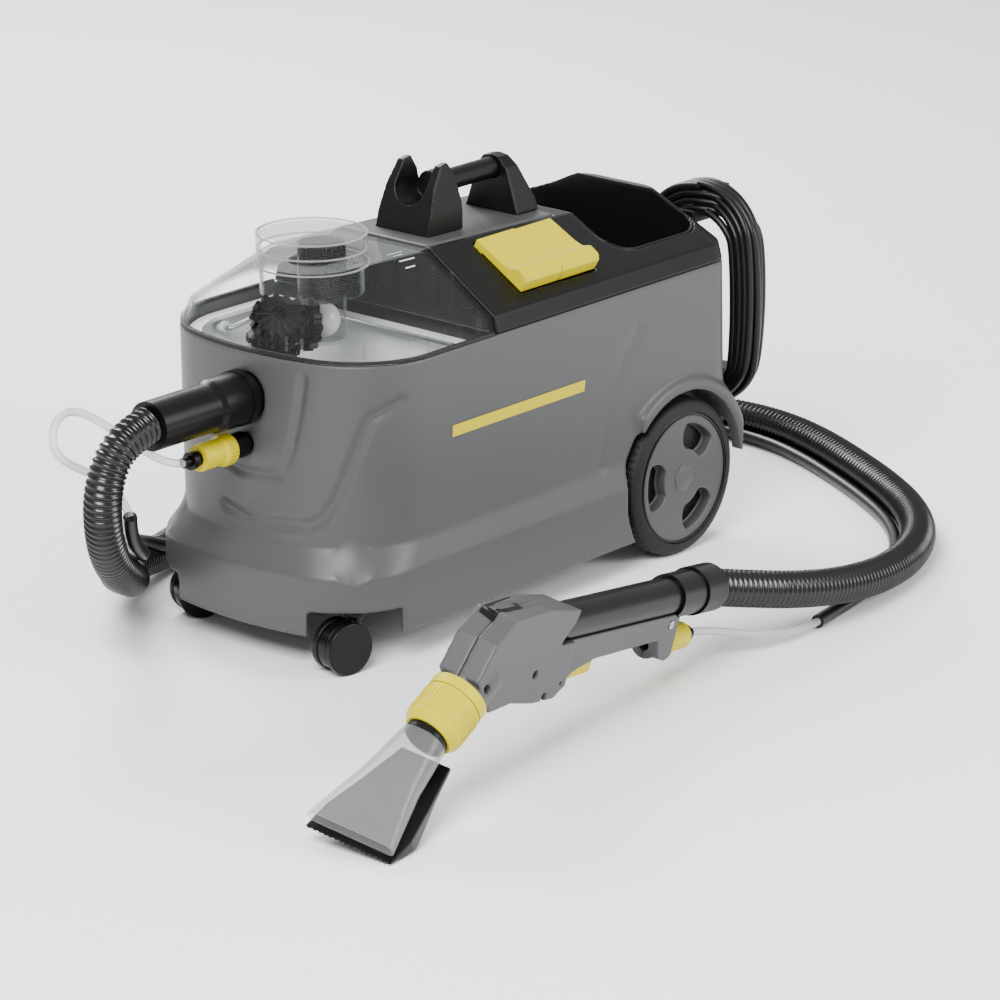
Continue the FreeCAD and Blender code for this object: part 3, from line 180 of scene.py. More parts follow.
def moulded(name, color, rough, grain=900.0, depth=0.03, edge=0.4, spread=0.05, gloss=0.5):
    """An opaque moulded finish with grain, a slight drift of tone, and sharp edges painted lighter: partly
    rubbed wear, partly a painted highlight.
    """
    mat = bpy.data.materials.new(name)
    mat.use_nodes = True
    tree = mat.node_tree
    shader = tree.nodes["Principled BSDF"]
    shader.inputs["Specular IOR Level"].default_value = gloss
    texture = tree.nodes.new("ShaderNodeGroup")
    texture.node_tree = grain_group
    texture.inputs["Grain Scale"].default_value = grain
    wear_and_highlight = tree.nodes.new("ShaderNodeGroup")
    wear_and_highlight.node_tree = edge_group
    wear_and_highlight.inputs["Amount"].default_value = edge
    tone = tree.nodes.new("ShaderNodeMix")
    tone.data_type = "RGBA"
    tone.inputs[6].default_value = tuple(c * (1 - spread) for c in color) + (1,)
    tone.inputs[7].default_value = tuple(min(1, c * (1 + spread)) for c in color) + (1,)
    tree.links.new(texture.outputs["Drift"], tone.inputs[0])
    # Sharp edges are painted lighter here: partly rubbed wear, partly a painted highlight where edges catch
    # light.
    light = tree.nodes.new("ShaderNodeMix")
    light.data_type = "RGBA"
    light.inputs[7].default_value = tuple(min(1, c * 1.3 + 0.004) for c in color) + (1,)
    tree.links.new(wear_and_highlight.outputs["Mask"], light.inputs[0])
    tree.links.new(tone.outputs[2], light.inputs[6])
    tree.links.new(light.outputs[2], shader.inputs["Base Color"])
    shine = tree.nodes.new("ShaderNodeMapRange")
    shine.inputs["To Min"].default_value = rough - 0.05
    shine.inputs["To Max"].default_value = rough + 0.05
    tree.links.new(texture.outputs["Drift"], shine.inputs["Value"])
    tree.links.new(shine.outputs["Result"], shader.inputs["Roughness"])
    bump = tree.nodes.new("ShaderNodeBump")
    bump.inputs["Strength"].default_value = 0.35
    bump.inputs["Distance"].default_value = depth / 1000
    tree.links.new(texture.outputs["Height"], bump.inputs["Height"])
    tree.links.new(bump.outputs["Normal"], shader.inputs["Normal"])
    return mat


finish = {
    "housing_grey": moulded("housing_grey", (0.050, 0.0512, 0.053), 0.43, 1400, 0.05, gloss=0.4),
    "cover_black": moulded("cover_black", (0.003, 0.0031, 0.0033), 0.40, 1600, 0.06, gloss=0.2),
    "grip_black": moulded("grip_black", (0.002, 0.002, 0.0022), 0.36, 900, 0.03, gloss=0.22),
    "part_black": moulded("part_black", (0.002, 0.002, 0.0022), 0.3, 1100, 0.02, gloss=0.2),
    "castor_black": moulded("castor_black", (0.002, 0.002, 0.0022), 0.4, 900, 0.02, gloss=0.22),
    "tyre_black": moulded("tyre_black", (0.006, 0.006, 0.0063), 0.6, 700, 0.04, gloss=0.25),
    "hose_black": moulded("hose_black", (0.003, 0.003, 0.0032), 0.24, 500, 0.01, gloss=0.45),
    "sheath_black": moulded("sheath_black", (0.004, 0.004, 0.0042), 0.32, 700, 0.01, gloss=0.35),
    "cable_black": moulded("cable_black", (0.003, 0.003, 0.0032), 0.38, 900, 0.01, gloss=0.3),
    "gasket_dark": moulded("gasket_dark", (0.006, 0.006, 0.0063), 0.55, gloss=0.3),
    "signal_yellow": moulded("signal_yellow", (0.50, 0.42, 0.0), 0.4, 800, 0.012, 0.1, 0.02, gloss=0.2),
    "tank_pale": moulded("tank_pale", (0.62, 0.64, 0.64), 0.35, 900, 0.02, 0.1, 0.03),
    "float_grey": moulded("float_grey", (0.001, 0.001, 0.001), 0.25, gloss=0.15),
    "float_white": moulded("float_white", (0.7, 0.7, 0.68), 0.25),
}

# %% [markdown]
# The lid, the nozzle's head and the spray hose are clear. Glass that bends light would keep the lamps out
# of the tank, so this finish lets light straight through where a wall is seen face on, and closes up
# where it is seen along its length, as the edges of clear plastic do. The small steel parts are drawn
# wire and turned pins, with a fine brushed grain.

# %% Clear plastic and steel


def clear(name, color, rough, low, high, edge):
    """A clear moulded plastic: it lets light through face on, and shows itself at its edges."""
    mat = bpy.data.materials.new(name)
    mat.use_nodes = True
    tree = mat.node_tree
    shader = tree.nodes["Principled BSDF"]
    shader.inputs["Base Color"].default_value = color + (1,)
    shader.inputs["Roughness"].default_value = rough
    texture = tree.nodes.new("ShaderNodeGroup")
    texture.node_tree = grain_group
    texture.inputs["Grain Scale"].default_value = 22.0
    haze = tree.nodes.new("ShaderNodeMapRange")
    haze.inputs["To Min"].default_value = rough
    haze.inputs["To Max"].default_value = rough + 0.06
    tree.links.new(texture.outputs["Drift"], haze.inputs["Value"])
    tree.links.new(haze.outputs["Result"], shader.inputs["Roughness"])
    facing = tree.nodes.new("ShaderNodeLayerWeight")
    facing.inputs["Blend"].default_value = 0.5
    cover = tree.nodes.new("ShaderNodeMapRange")
    cover.inputs["From Min"].default_value = edge
    cover.inputs["To Min"].default_value = low
    cover.inputs["To Max"].default_value = high
    tree.links.new(facing.outputs["Facing"], cover.inputs["Value"])
    tree.links.new(cover.outputs["Result"], shader.inputs["Alpha"])
    return mat


def steel_finish():
    """Bright drawn steel with a soft brushed variation."""
    mat = moulded("steel", (0.5, 0.51, 0.52), 0.3, 1500, 0.01, 0.0)
    mat.node_tree.nodes["Principled BSDF"].inputs["Metallic"].default_value = 1.0
    return mat


finish["lid_clear"] = clear("lid_clear", (0.22, 0.23, 0.235), 0.05, 0.025, 0.95, 0.6)
finish["spray_clear"] = clear("spray_clear", (0.5, 0.505, 0.5), 0.12, 0.35, 0.95, 0.2)
finish["nozzle_clear"] = clear("nozzle_clear", (0.3, 0.305, 0.31), 0.1, 0.2, 0.85, 0.45)
finish["rim_clear"] = clear("rim_clear", (0.30, 0.31, 0.315), 0.05, 0.35, 0.9, 0.3)
finish["steel"] = steel_finish()
slot_of = {p["node"]: p["material_slot"] for p in frame["record"]["subparts"]}
body_of = {}
for body, members in frame["record"]["behaviour"]["bodies"].items():
    for member in members:
        body_of[member] = body
for name, item in nodes.items():
    item.data.materials.clear()
    item.data.materials.append(finish[slot_of[name]])
    item.data.shade_smooth()
    item.data.set_sharp_from_angle(angle=math.radians(28))
print("finishes", len(finish))

# %% [markdown]
# ## Helpers for new pieces
# A new piece is placed in the frame, rides on the body it belongs to, and takes the finish of one of
# the record's slots. If it stands for a CAD solid, that solid is hidden and this piece shows instead.

# %% Piece helpers


def add_piece(name, mesh, slot, body, stands_for=()):
    """Links a mesh as a finished piece of one body."""
    item = bpy.data.objects.new(name, mesh)
    bpy.context.collection.objects.link(item)
    mesh.materials.clear()
    mesh.materials.append(finish[slot])
    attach(item, body)
    if stands_for:
        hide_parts(*stands_for)
    return item


def mesh_from(name, points, faces, sharp=30):
    """A smooth-shaded mesh with outward normals."""
    mesh = bpy.data.meshes.new(name)
    mesh.from_pydata([tuple(p) for p in points], [], faces)
    work = bmesh.new()
    work.from_mesh(mesh)
    bmesh.ops.recalc_face_normals(work, faces=work.faces)
    work.to_mesh(mesh)
    work.free()
    mesh.shade_smooth()
    mesh.set_sharp_from_angle(angle=math.radians(sharp))
    return mesh


def ring_faces(around, width):
    """Faces that join each loop of points to the next one round a closed ring."""
    faces = []
    for step in range(around):
        ahead = (step + 1) % around
        for i in range(width):
            j = (i + 1) % width
            faces.append((step * width + i, step * width + j, ahead * width + j, ahead * width + i))
    return faces


def settle(item):
    """The plain mesh of an object with its modifiers applied."""
    scene_now = bpy.context.evaluated_depsgraph_get()
    return bpy.data.meshes.new_from_object(item.evaluated_get(scene_now))


def soften(node, voxel, steps, share):
    """A copy of a CAD part with its edges rounded over, as a mould leaves them."""
    work = bpy.data.objects.new(node + "_work", nodes[node].data.copy())
    bpy.context.collection.objects.link(work)
    grid = work.modifiers.new("grid", "REMESH")
    grid.mode = "VOXEL"
    grid.voxel_size = voxel / 1000
    ease = work.modifiers.new("ease", "SMOOTH")
    ease.factor = 0.5
    ease.iterations = steps
    thin = work.modifiers.new("thin", "DECIMATE")
    thin.ratio = share
    mesh = settle(work)
    bpy.data.objects.remove(work)
    mesh.shade_smooth()
    piece = add_piece(node + "_moulded", mesh, slot_of[node], body_of[node], [node])
    print(piece.name, "triangles", sum(len(p.vertices) - 2 for p in mesh.polygons))
    return piece


# %% [markdown]
# ## Moulded shells
# On the real machine every outer edge carries a radius of one to four millimetres, because a mould with
# a sharp corner fills badly. Each shell is resampled on a fine grid and eased, which rounds all of its
# edges by the same small amount.

# %% Shells with rounded edges
shells = {
    "body_housing": (2.2, 8, 0.42), "top_cover": (1.5, 6, 0.35), "storage_tray": (1.5, 5, 0.4),
    "centre_panel": (1.2, 5, 0.5), "fork_support": (1.0, 10, 0.7), "rear_support": (1.0, 10, 0.7),
    "switch_rocker_front": (0.7, 6, 0.8), "switch_rocker_back": (0.7, 6, 0.8),
    "wand_shell_near": (1.0, 10, 0.6), "wand_shell_far": (1.0, 10, 0.6), "trigger": (0.6, 8, 0.8),
    "nozzle_plate": (1.0, 6, 0.8), "wheel_disc_near": (1.1, 5, 0.6), "wheel_disc_far": (1.1, 5, 0.6),
    "castor_hood_near": (0.7, 5, 0.8), "castor_hood_far": (0.7, 5, 0.8)}
moulds = {node: soften(node, *sizes) for node, sizes in shells.items()}

# %% [markdown]
# ## Hose, sheath, spray hose and cable
# The ribbed hose is a blown corrugation: its wall swells and narrows in a steady wave so that it bends
# without kinking. Its line is a spline through the points where it lies, from the cuff at the front,
# round behind the machine and back to the wand. The wall is swept along that line and its radius
# follows the wave.

# %% Routes
hose_line = [(-414, 0, 264), (-440, 1, 258), (-460, 4, 240), (-469, 9, 208), (-461, 18, 168),
             (-438, 34, 128), (-396, 60, 94), (-344, 94, 68), (-308, 162, 50), (-238, 204, 32),
             (-168, 228, 22), (-96, 256, 20), (-22, 284, 20), (56, 310, 20), (136, 330, 20),
             (218, 342, 20), (298, 342, 20), (374, 328, 20), (440, 298, 20), (496, 252, 20),
             (540, 198, 20), (574, 138, 20), (594, 72, 20), (592, 2, 20), (568, -70, 20),
             (532, -142, 20), (494, -210, 20), (448, -276, 20), (388, -332, 21), (316, -370, 23),
             (240, -390, 28), (166, -397, 38), (100, -396, 51), (44, -388, 64), (-21, -371, 80)]
spray_front = [(-368, 0, 214), (-384, 2, 217), (-399, 12, 227), (-412, 34, 242), (-427, 50, 259),
               (-449, 57, 274), (-474, 55, 279), (-494, 48, 270), (-500, 42, 252), (-488, 39, 236),
               (-464, 39, 222), (-440, 36, 208), (-428, 26, 192), (-428, 14, 172)]
cable_line = [(332, 60, 270), (358, 60, 268), (378, 56, 252), (384, 46, 226), (376, 30, 206),
              (362, 11, 208), (350, 3.2, 228)]
print("hose points", len(hose_line))

# %% Spline and sweep helpers


def route_curve(name, points, radius=0.0):
    """A smooth spline through a route given in millimetres; radius 0 leaves a bare line."""
    data = bpy.data.curves.new(name, "CURVE")
    data.dimensions = "3D"
    spline = data.splines.new("NURBS")
    spline.points.add(len(points) - 1)
    for knot, place in zip(spline.points, points):
        knot.co = (place[0] / 1000, place[1] / 1000, place[2] / 1000, 1)
    spline.order_u = 3
    spline.use_endpoint_u = True
    spline.resolution_u = 10
    data.bevel_depth = radius
    data.bevel_resolution = 6
    data.use_fill_caps = radius > 0
    item = bpy.data.objects.new(name, data)
    bpy.context.collection.objects.link(item)
    return item


def line_points(item):
    """The points that a bare route spline passes through, in order."""
    mesh = settle(item)
    return [v.co.copy() for v in mesh.vertices]


def wave_tree():
    """Sweeps a round wall along a line, with a radius that follows a steady wave."""
    tree = bpy.data.node_groups.new("ribbed_hose", "GeometryNodeTree")
    group_socket(tree, "Geometry", "INPUT", "NodeSocketGeometry")
    for label, value in (("Pitch", 0.0064), ("Middle Radius", 0.0178), ("Wave", 0.0014), ("Steps", 7.0)):
        group_socket(tree, label, "INPUT", "NodeSocketFloat", value)
    group_socket(tree, "Material", "INPUT", "NodeSocketMaterial")
    group_socket(tree, "Geometry", "OUTPUT", "NodeSocketGeometry")
    link = tree.links.new
    ins = tree.nodes.new("NodeGroupInput")
    outs = tree.nodes.new("NodeGroupOutput")
    gap = tree.nodes.new("ShaderNodeMath")
    gap.operation = "DIVIDE"
    link(ins.outputs["Pitch"], gap.inputs[0])
    link(ins.outputs["Steps"], gap.inputs[1])
    spaced = tree.nodes.new("GeometryNodeResampleCurve")
    spaced.mode = "LENGTH"
    link(ins.outputs["Geometry"], spaced.inputs["Curve"])
    link(gap.outputs[0], spaced.inputs["Length"])
    along = tree.nodes.new("GeometryNodeSplineParameter")
    turns = tree.nodes.new("ShaderNodeMath")
    turns.operation = "DIVIDE"
    link(along.outputs["Length"], turns.inputs[0])
    link(ins.outputs["Pitch"], turns.inputs[1])
    angle = tree.nodes.new("ShaderNodeMath")
    angle.operation = "MULTIPLY"
    angle.inputs[1].default_value = 2 * math.pi
    link(turns.outputs[0], angle.inputs[0])
    swell = tree.nodes.new("ShaderNodeMath")
    swell.operation = "SINE"
    link(angle.outputs[0], swell.inputs[0])
    radius = tree.nodes.new("ShaderNodeMath")
    radius.operation = "MULTIPLY_ADD"
    link(swell.outputs[0], radius.inputs[0])
    link(ins.outputs["Wave"], radius.inputs[1])
    link(ins.outputs["Middle Radius"], radius.inputs[2])
    ring = tree.nodes.new("GeometryNodeCurvePrimitiveCircle")
    ring.inputs["Resolution"].default_value = 22
    ring.inputs["Radius"].default_value = 1.0
    sweep = tree.nodes.new("GeometryNodeCurveToMesh")
    link(radius.outputs[0], sweep.inputs["Scale"])
    link(spaced.outputs["Curve"], sweep.inputs["Curve"])
    link(ring.outputs["Curve"], sweep.inputs["Profile Curve"])
    real = tree.nodes.new("GeometryNodeRealizeInstances")
    link(sweep.outputs["Mesh"], real.inputs["Geometry"])
    paint = tree.nodes.new("GeometryNodeSetMaterial")
    link(real.outputs["Geometry"], paint.inputs["Geometry"])
    link(ins.outputs["Material"], paint.inputs["Material"])
    link(paint.outputs["Geometry"], outs.inputs["Geometry"])
    return tree


def socket_id(tree, name):
    """The identifier that a modifier knows one named input by."""
    for item in tree.interface.items_tree:
        if item.name == name and item.in_out == "INPUT":
            return item.identifier
    return None


def ribbed(name, points, pitch, middle, wave, slot):
    """A ribbed tube along a route, as a plain mesh, with the points it follows."""
    line = route_curve(name + "_line", points)
    path = line_points(line)
    modifier = line.modifiers.new("ribs", "NODES")
    modifier.node_group = ribbed_tree
    modifier[socket_id(ribbed_tree, "Pitch")] = pitch
    modifier[socket_id(ribbed_tree, "Middle Radius")] = middle
    modifier[socket_id(ribbed_tree, "Wave")] = wave
    modifier[socket_id(ribbed_tree, "Material")] = finish[slot]
    mesh = settle(line)
    bpy.data.objects.remove(line)
    mesh.shade_smooth()
    return mesh, path


ribbed_tree = wave_tree()

# %% The suction hose
hose_mesh, hose_path = ribbed("hose", hose_line, 0.0064, 0.0177, 0.0013, "hose_black")
hose = add_piece("hose_ribbed", hose_mesh, "hose_black", "root", ["suction_hose"])
print("hose triangles", sum(len(p.vertices) - 2 for p in hose_mesh.polygons))

# %% [markdown]
# The thin spray hose runs inside a smooth black sleeve along the inner side of the big hose, so that
# the pair can be dragged as one. It is clear where it leaves the sleeve for its two yellow couplings.

# %% Sheath and spray hoses
sheath_line = [(-428, 14, 172), (-416, 26, 143), (-376, 46, 112), (-339, 95, 97), (-306, 161, 78),
               (-240, 202, 60), (-178, 198, 34), (-87, 233, 8), (-14, 261, 8), (63, 287, 8), (141, 306, 8),
               (220, 318, 8), (296, 318, 8), (367, 305, 8), (427, 277, 8), (479, 235, 8), (520, 184, 8),
               (552, 128, 8), (570, 69, 8), (568, 6, 8), (545, -61, 8), (510, -131, 8), (473, -197, 8),
               (430, -260, 8), (374, -313, 8), (308, -349, 8), (258, -368, 8), (204, -380, 8),
               (164, -386, 8), (130, -392, 8)]
spray_rear = [(130, -392, 8), (98, -396, 9), (62, -394, 14), (26, -388, 22), (-21.8, -362.1, 34.2),
              (-43.3, -365.4, 38)]


def cord_piece(name, points, radius, slot, node):
    """A round cord that is shown in place of one CAD tube."""
    item = route_curve(name, points, radius)
    item.data.materials.append(finish[slot])
    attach(item, "root")
    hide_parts(node)
    return item


cord_piece("sleeve_smooth", sheath_line, 0.007, "sheath_black", "sheath")
cord_piece("spray_tube_front", spray_front, 0.004, "spray_clear", "spray_hose_front")
cord_piece("spray_tube_rear", spray_rear, 0.004, "spray_clear", "spray_hose_rear")
cord_piece("cable_lead", cable_line, 0.004, "cable_black", "power_cable")

# %% [markdown]
# Seven metres of cable hang on the hook behind the machine. They are wound by hand, so no two turns
# have quite the same length: the outer ones sag lowest and the bundle spreads towards the bottom.

# %% Wound power cable
hank_centre = (0.348, -0.072)
hank_peak = 0.3623
turn_count = 13


def turn_point(turn, share):
    """One point of the winding: turn number, and the share of that turn already wound."""
    column = turn % 4
    row = turn // 4
    half = 0.0712 - 0.0082 * row
    sag = 0.004 * math.sin(2.3 * turn) + 0.003 * row
    low = 0.232 - 0.0164 * row + sag
    angle = 2 * math.pi * share
    side = math.sin(angle)
    high = math.cos(angle)
    straight = (low / 2 - half) * math.copysign(min(1.0, abs(high) * 3), high)
    spread = 1.0 + 0.10 * math.sin(1.7 * turn) * (1 - high) / 2
    y = hank_centre[1] + half * side * spread
    z = hank_peak - 0.0082 * row - low / 2 + straight + half * high
    x = hank_centre[0] - 0.0123 + 0.0082 * column
    return x, y, z


def winding():
    """All turns in one line; each slides over to the next turn's place as it closes."""
    points = []
    steps = 26
    for turn in range(turn_count):
        for step in range(steps):
            share = step / steps
            here = turn_point(turn, share)
            ahead = turn_point(min(turn + 1, turn_count - 1), share)
            mix = max(0.0, (share - 0.8) / 0.2)
            points.append(tuple(1000 * (a + (b - a) * mix) for a, b in zip(here, ahead)))
    return points


cable_turns = winding()
hank = route_curve("cable_turns", cable_turns, 0.004)
hank.data.materials.append(finish["cable_black"])
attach(hank, "root")
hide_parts("cable_hank")

# %% [markdown]
# ## Tyres
# Each wheel has a wide black tyre of hard rubber. Its tread is a set of fine ribs round the wheel, cut
# across at a steady pitch, and the shoulder turns in to a thin bead against the grey disc.

# %% Tyres
wheel_x = 0.222
wheel_height = 0.084


def tyre_mesh(side):
    """A tyre swept round the wheel's axle, with ribs and cross cuts pressed into its tread."""
    profile = [(-18, 70.2), (-18, 72), (-17.2, 77), (-15, 81.0), (-12, 83.2)]
    profile += [(-10.5 + 1.5 * i, 84.0 if i % 2 else 83.2) for i in range(15)]
    profile += [(12, 83.2), (15, 81.0), (17.2, 77), (18, 72), (18, 70.2)]
    around = 360
    points = []
    for step in range(around):
        angle = 2 * math.pi * step / around
        for across, radius in profile:
            cut = 0.8 if radius > 83 and step % 6 == 0 else 0.0
            reach = (radius - cut) / 1000
            points.append((wheel_x + reach * math.sin(angle), side * 0.130 + across / 1000,
                           wheel_height + reach * math.cos(angle)))
    return mesh_from("tyre_tread", points, ring_faces(around, len(profile)), 40)


add_piece("tyre_tread_near", tyre_mesh(-1), "tyre_black", "wheel_near", ["tyre_near"])
add_piece("tyre_tread_far", tyre_mesh(1), "tyre_black", "wheel_far", ["tyre_far"])

# %% [markdown]
# ## Details on the housing
# The side of the tank carries a printed yellow stripe, and its front is modelled with a soft U-shaped
# groove that stiffens the large flat wall. Both follow the moulded wall, so the stripe is dropped on to
# it with rays, and the groove is pressed into it along a line of points.

# %% Stripe and grooves
housing = moulds["body_housing"]


def press_groove(item, route, half_width, depth):
    """Presses a soft groove into a surface along a route given in millimetres."""
    mesh = item.data
    count = len(mesh.vertices)
    place = np.empty(count * 3)
    normal = np.empty(count * 3)
    mesh.vertices.foreach_get("co", place)
    mesh.vertices.foreach_get("normal", normal)
    place = place.reshape(-1, 3)
    normal = normal.reshape(-1, 3)
    nearest = np.full(count, 1e9)
    for a, b in zip(route, route[1:]):
        start = np.array(a) / 1000
        way = np.array(b) / 1000 - start
        share = np.clip(((place - start) @ way) / (way @ way), 0, 1)
        gap = np.linalg.norm(place - (start + share[:, None] * way), axis=1)
        nearest = np.minimum(nearest, gap)
    push = np.clip(1 - nearest / (half_width / 1000), 0, 1)
    push = push * push * (3 - 2 * push) * depth / 1000
    mesh.vertices.foreach_set("co", (place - normal * push[:, None]).ravel())
    mesh.update()


def relax(item, centre, reach, rounds):
    """Smooths the vertices that lie near one point, so that the surface spans it like a skin."""
    mesh = bmesh.new()
    mesh.from_mesh(item.data)
    close = [v for v in mesh.verts if (v.co - Vector(centre)).length < reach]
    for _ in range(rounds):
        bmesh.ops.smooth_vert(mesh, verts=close, factor=0.5, use_axis_x=True, use_axis_y=True, use_axis_z=True)
    mesh.to_mesh(item.data)
    mesh.free()
    item.data.update()


# The castor sockets rise a little through the ledge at the two front corners, and are eased into it.
for side in (-1, 1):
    relax(housing, (-0.2585, side * 0.1205, 0.1115), 0.023, 400)

u_inner = [(-272, -69, 289), (-273, -66, 269), (-274.5, -63, 248), (-277, -55, 212), (-279, -44, 189),
           (-282, -22, 186), (-282.5, 7, 185), (-282, 30, 190)]
u_outer = [(-213, -142, 268), (-239, -126, 253), (-248, -117, 223), (-256, -108, 192), (-262, -100, 169),
           (-268, -88, 150), (-273, -77, 143), (-280, -44, 140), (-283, -6, 136), (-282, 28, 144)]
s_curve = [(146, -148, 261), (124, -146.5, 234), (106, -144.6, 196), (99, -142.6, 154), (92, -141, 126)]
press_groove(housing, u_inner, 8, 3.0)
press_groove(housing, u_outer, 10, 3.4)
press_groove(housing, s_curve, 14, 2.2)


def film(name, corners, steps, items, way, lift, slot, body):
    """A thin patch between four corner points, dropped on to the first surface it meets."""
    trees = [BVHTree.FromObject(item, bpy.context.evaluated_depsgraph_get()) for item in items]
    points, faces = [], []
    for i in range(steps + 1):
        for j in range(3):
            a = Vector(corners[0]).lerp(Vector(corners[1]), i / steps)
            b = Vector(corners[3]).lerp(Vector(corners[2]), i / steps)
            met = [tree.ray_cast(a.lerp(b, j / 2), Vector(way)) for tree in trees]
            hit = min((m for m in met if m[0] is not None), key=lambda m: m[3])[0]
            points.append(hit - Vector(way) * lift)
    for i in range(steps):
        for j in range(2):
            k = i * 3 + j
            faces.append((k, k + 3, k + 4, k + 1))
    return add_piece(name, mesh_from(name, points, faces), slot, body)


stripe = [(-0.142, -0.3, 0.228), (0.061, -0.3, 0.228), (0.060, -0.3, 0.216), (-0.142, -0.3, 0.216)]
film("side_stripe", stripe, 40, [housing], (0, 1, 0), 0.0005, "signal_yellow", "root")
print("stripe and grooves made")

# %% [markdown]
# ## Tank, lid and float
# Inside the lid the pale tank has a flat rim all the way round, which the lid's gasket presses on. The
# lid itself carries small tabs along its edge that centre it, and printed level marks. Under the dome a
# black shut-off sleeve stands in a clear cylinder; the float rises in it and closes the suction.

# %% Tank rim


def tank_rim():
    """A flat rim round the tank's mouth, traced from the tank's own wall."""
    tree = BVHTree.FromObject(nodes["recovery_tank"], bpy.context.evaluated_depsgraph_get())
    centre = Vector((-0.17, 0, 0.29))
    points = []
    around = 180
    for step in range(around):
        angle = 2 * math.pi * step / around
        way = Vector((math.cos(angle), math.sin(angle), 0))
        far = tree.ray_cast(centre + way * 0.4, -way)[0]
        outer = far + way * 0.0015
        inner = far - way * 0.012
        for edge, z in ((outer, 0.2925), (outer, 0.2965), (inner, 0.2965), (inner, 0.2925)):
            points.append((edge.x, edge.y, z))
    return mesh_from("tank_rim", points, ring_faces(around, 4))


add_piece("tank_rim", tank_rim(), "tank_pale", "root")

# %% [markdown]
# The tabs, and later the flutes on the yellow grips, are the same small block set many times over. A
# node tree places one block at every point it is given and turns it to face the way that the point asks
# for, so one change of a size changes them all.

# %% A tree that sets ribs at points


def rib_tree():
    """Sets one block at every point, turned about the upright to the point's facing."""
    tree = bpy.data.node_groups.new("ribs_at_points", "GeometryNodeTree")
    group_socket(tree, "Geometry", "INPUT", "NodeSocketGeometry")
    for label, value in (("Thickness", 0.0012), ("Width", 0.0016), ("Height", 0.01)):
        group_socket(tree, label, "INPUT", "NodeSocketFloat", value)
    group_socket(tree, "Material", "INPUT", "NodeSocketMaterial")
    group_socket(tree, "Geometry", "OUTPUT", "NodeSocketGeometry")
    link = tree.links.new
    ins = tree.nodes.new("NodeGroupInput")
    outs = tree.nodes.new("NodeGroupOutput")
    size = tree.nodes.new("ShaderNodeCombineXYZ")
    link(ins.outputs["Thickness"], size.inputs["X"])
    link(ins.outputs["Width"], size.inputs["Y"])
    link(ins.outputs["Height"], size.inputs["Z"])
    block = tree.nodes.new("GeometryNodeMeshCube")
    link(size.outputs["Vector"], block.inputs["Size"])
    facing = tree.nodes.new("GeometryNodeInputNamedAttribute")
    facing.data_type = "FLOAT_VECTOR"
    facing.inputs["Name"].default_value = "facing"
    turn = tree.nodes.new("FunctionNodeAlignRotationToVector")
    turn.axis = "X"
    turn.pivot_axis = "Z"
    link(facing.outputs["Attribute"], turn.inputs["Vector"])
    spread = tree.nodes.new("GeometryNodeInstanceOnPoints")
    link(ins.outputs["Geometry"], spread.inputs["Points"])
    link(block.outputs["Mesh"], spread.inputs["Instance"])
    link(turn.outputs["Rotation"], spread.inputs["Rotation"])
    real = tree.nodes.new("GeometryNodeRealizeInstances")
    link(spread.outputs["Instances"], real.inputs["Geometry"])
    paint = tree.nodes.new("GeometryNodeSetMaterial")
    link(real.outputs["Geometry"], paint.inputs["Geometry"])
    link(ins.outputs["Material"], paint.inputs["Material"])
    link(paint.outputs["Geometry"], outs.inputs["Geometry"])
    return tree


rib_group = rib_tree()


def ribs(name, spots, size, slot, body, turned_by=None):
    """Equal ribs at a list of (point, facing) spots; the whole set may be turned into place."""
    points = bpy.data.meshes.new(name + "_points")
    points.from_pydata([tuple(point) for point, way in spots], [], [])
    facing = points.attributes.new("facing", "FLOAT_VECTOR", "POINT")
    facing.data.foreach_set("vector", [c for point, way in spots for c in way])
    holder = bpy.data.objects.new(name + "_points", points)
    bpy.context.collection.objects.link(holder)
    modifier = holder.modifiers.new("ribs", "NODES")
    modifier.node_group = rib_group
    for label, value in zip(("Thickness", "Width", "Height"), size):
        modifier[socket_id(rib_group, label)] = value
    modifier[socket_id(rib_group, "Material")] = finish[slot]
    mesh = settle(holder)
    bpy.data.objects.remove(holder)
    if turned_by is not None:
        mesh.transform(turned_by)
    print(name, len(spots), "ribs")
    return add_piece(name, mesh, slot, body)


# %% Lid tabs and level marks


def lid_tab_spots():
    """Where the tabs stand inside the lid's round wall, found with rays from its middle."""
    tree = BVHTree.FromObject(nodes["clear_lid"], bpy.context.evaluated_depsgraph_get())
    found = []
    for step in range(26):
        angle = math.radians(62 + step * 9.4)
        out = Vector((math.cos(angle), math.sin(angle), 0))
        hit = tree.ray_cast(Vector((-0.17, 0, 0.318)), out)[0]
        if hit is not None and hit.x < -0.095:
            found.append((hit - out * 0.0022, out))
    return found


rear_tab_spots = [((-0.0885, -0.1 + step * 0.025, 0.345), (1, 0, 0)) for step in range(9)]
ribs("lid_tabs", lid_tab_spots(), (0.004, 0.0016, 0.014), "lid_clear", "lid")
ribs("lid_rear_tabs", rear_tab_spots, (0.0044, 0.0016, 0.036), "lid_clear", "lid")
mark_width = 0.0012
for index in range(4):
    x, y = -0.13, -0.052 - 0.008 * index
    reach = 0.014 if index % 2 else 0.022
    corners = [(x, y, 0.5), (x + reach, y, 0.5), (x + reach, y + mark_width, 0.5), (x, y + mark_width, 0.5)]
    film("level_mark_" + str(index), corners, 3, [nodes["clear_lid"]], (0, 0, -1), 0.0002, "tank_pale", "lid")

# %% Turned parts


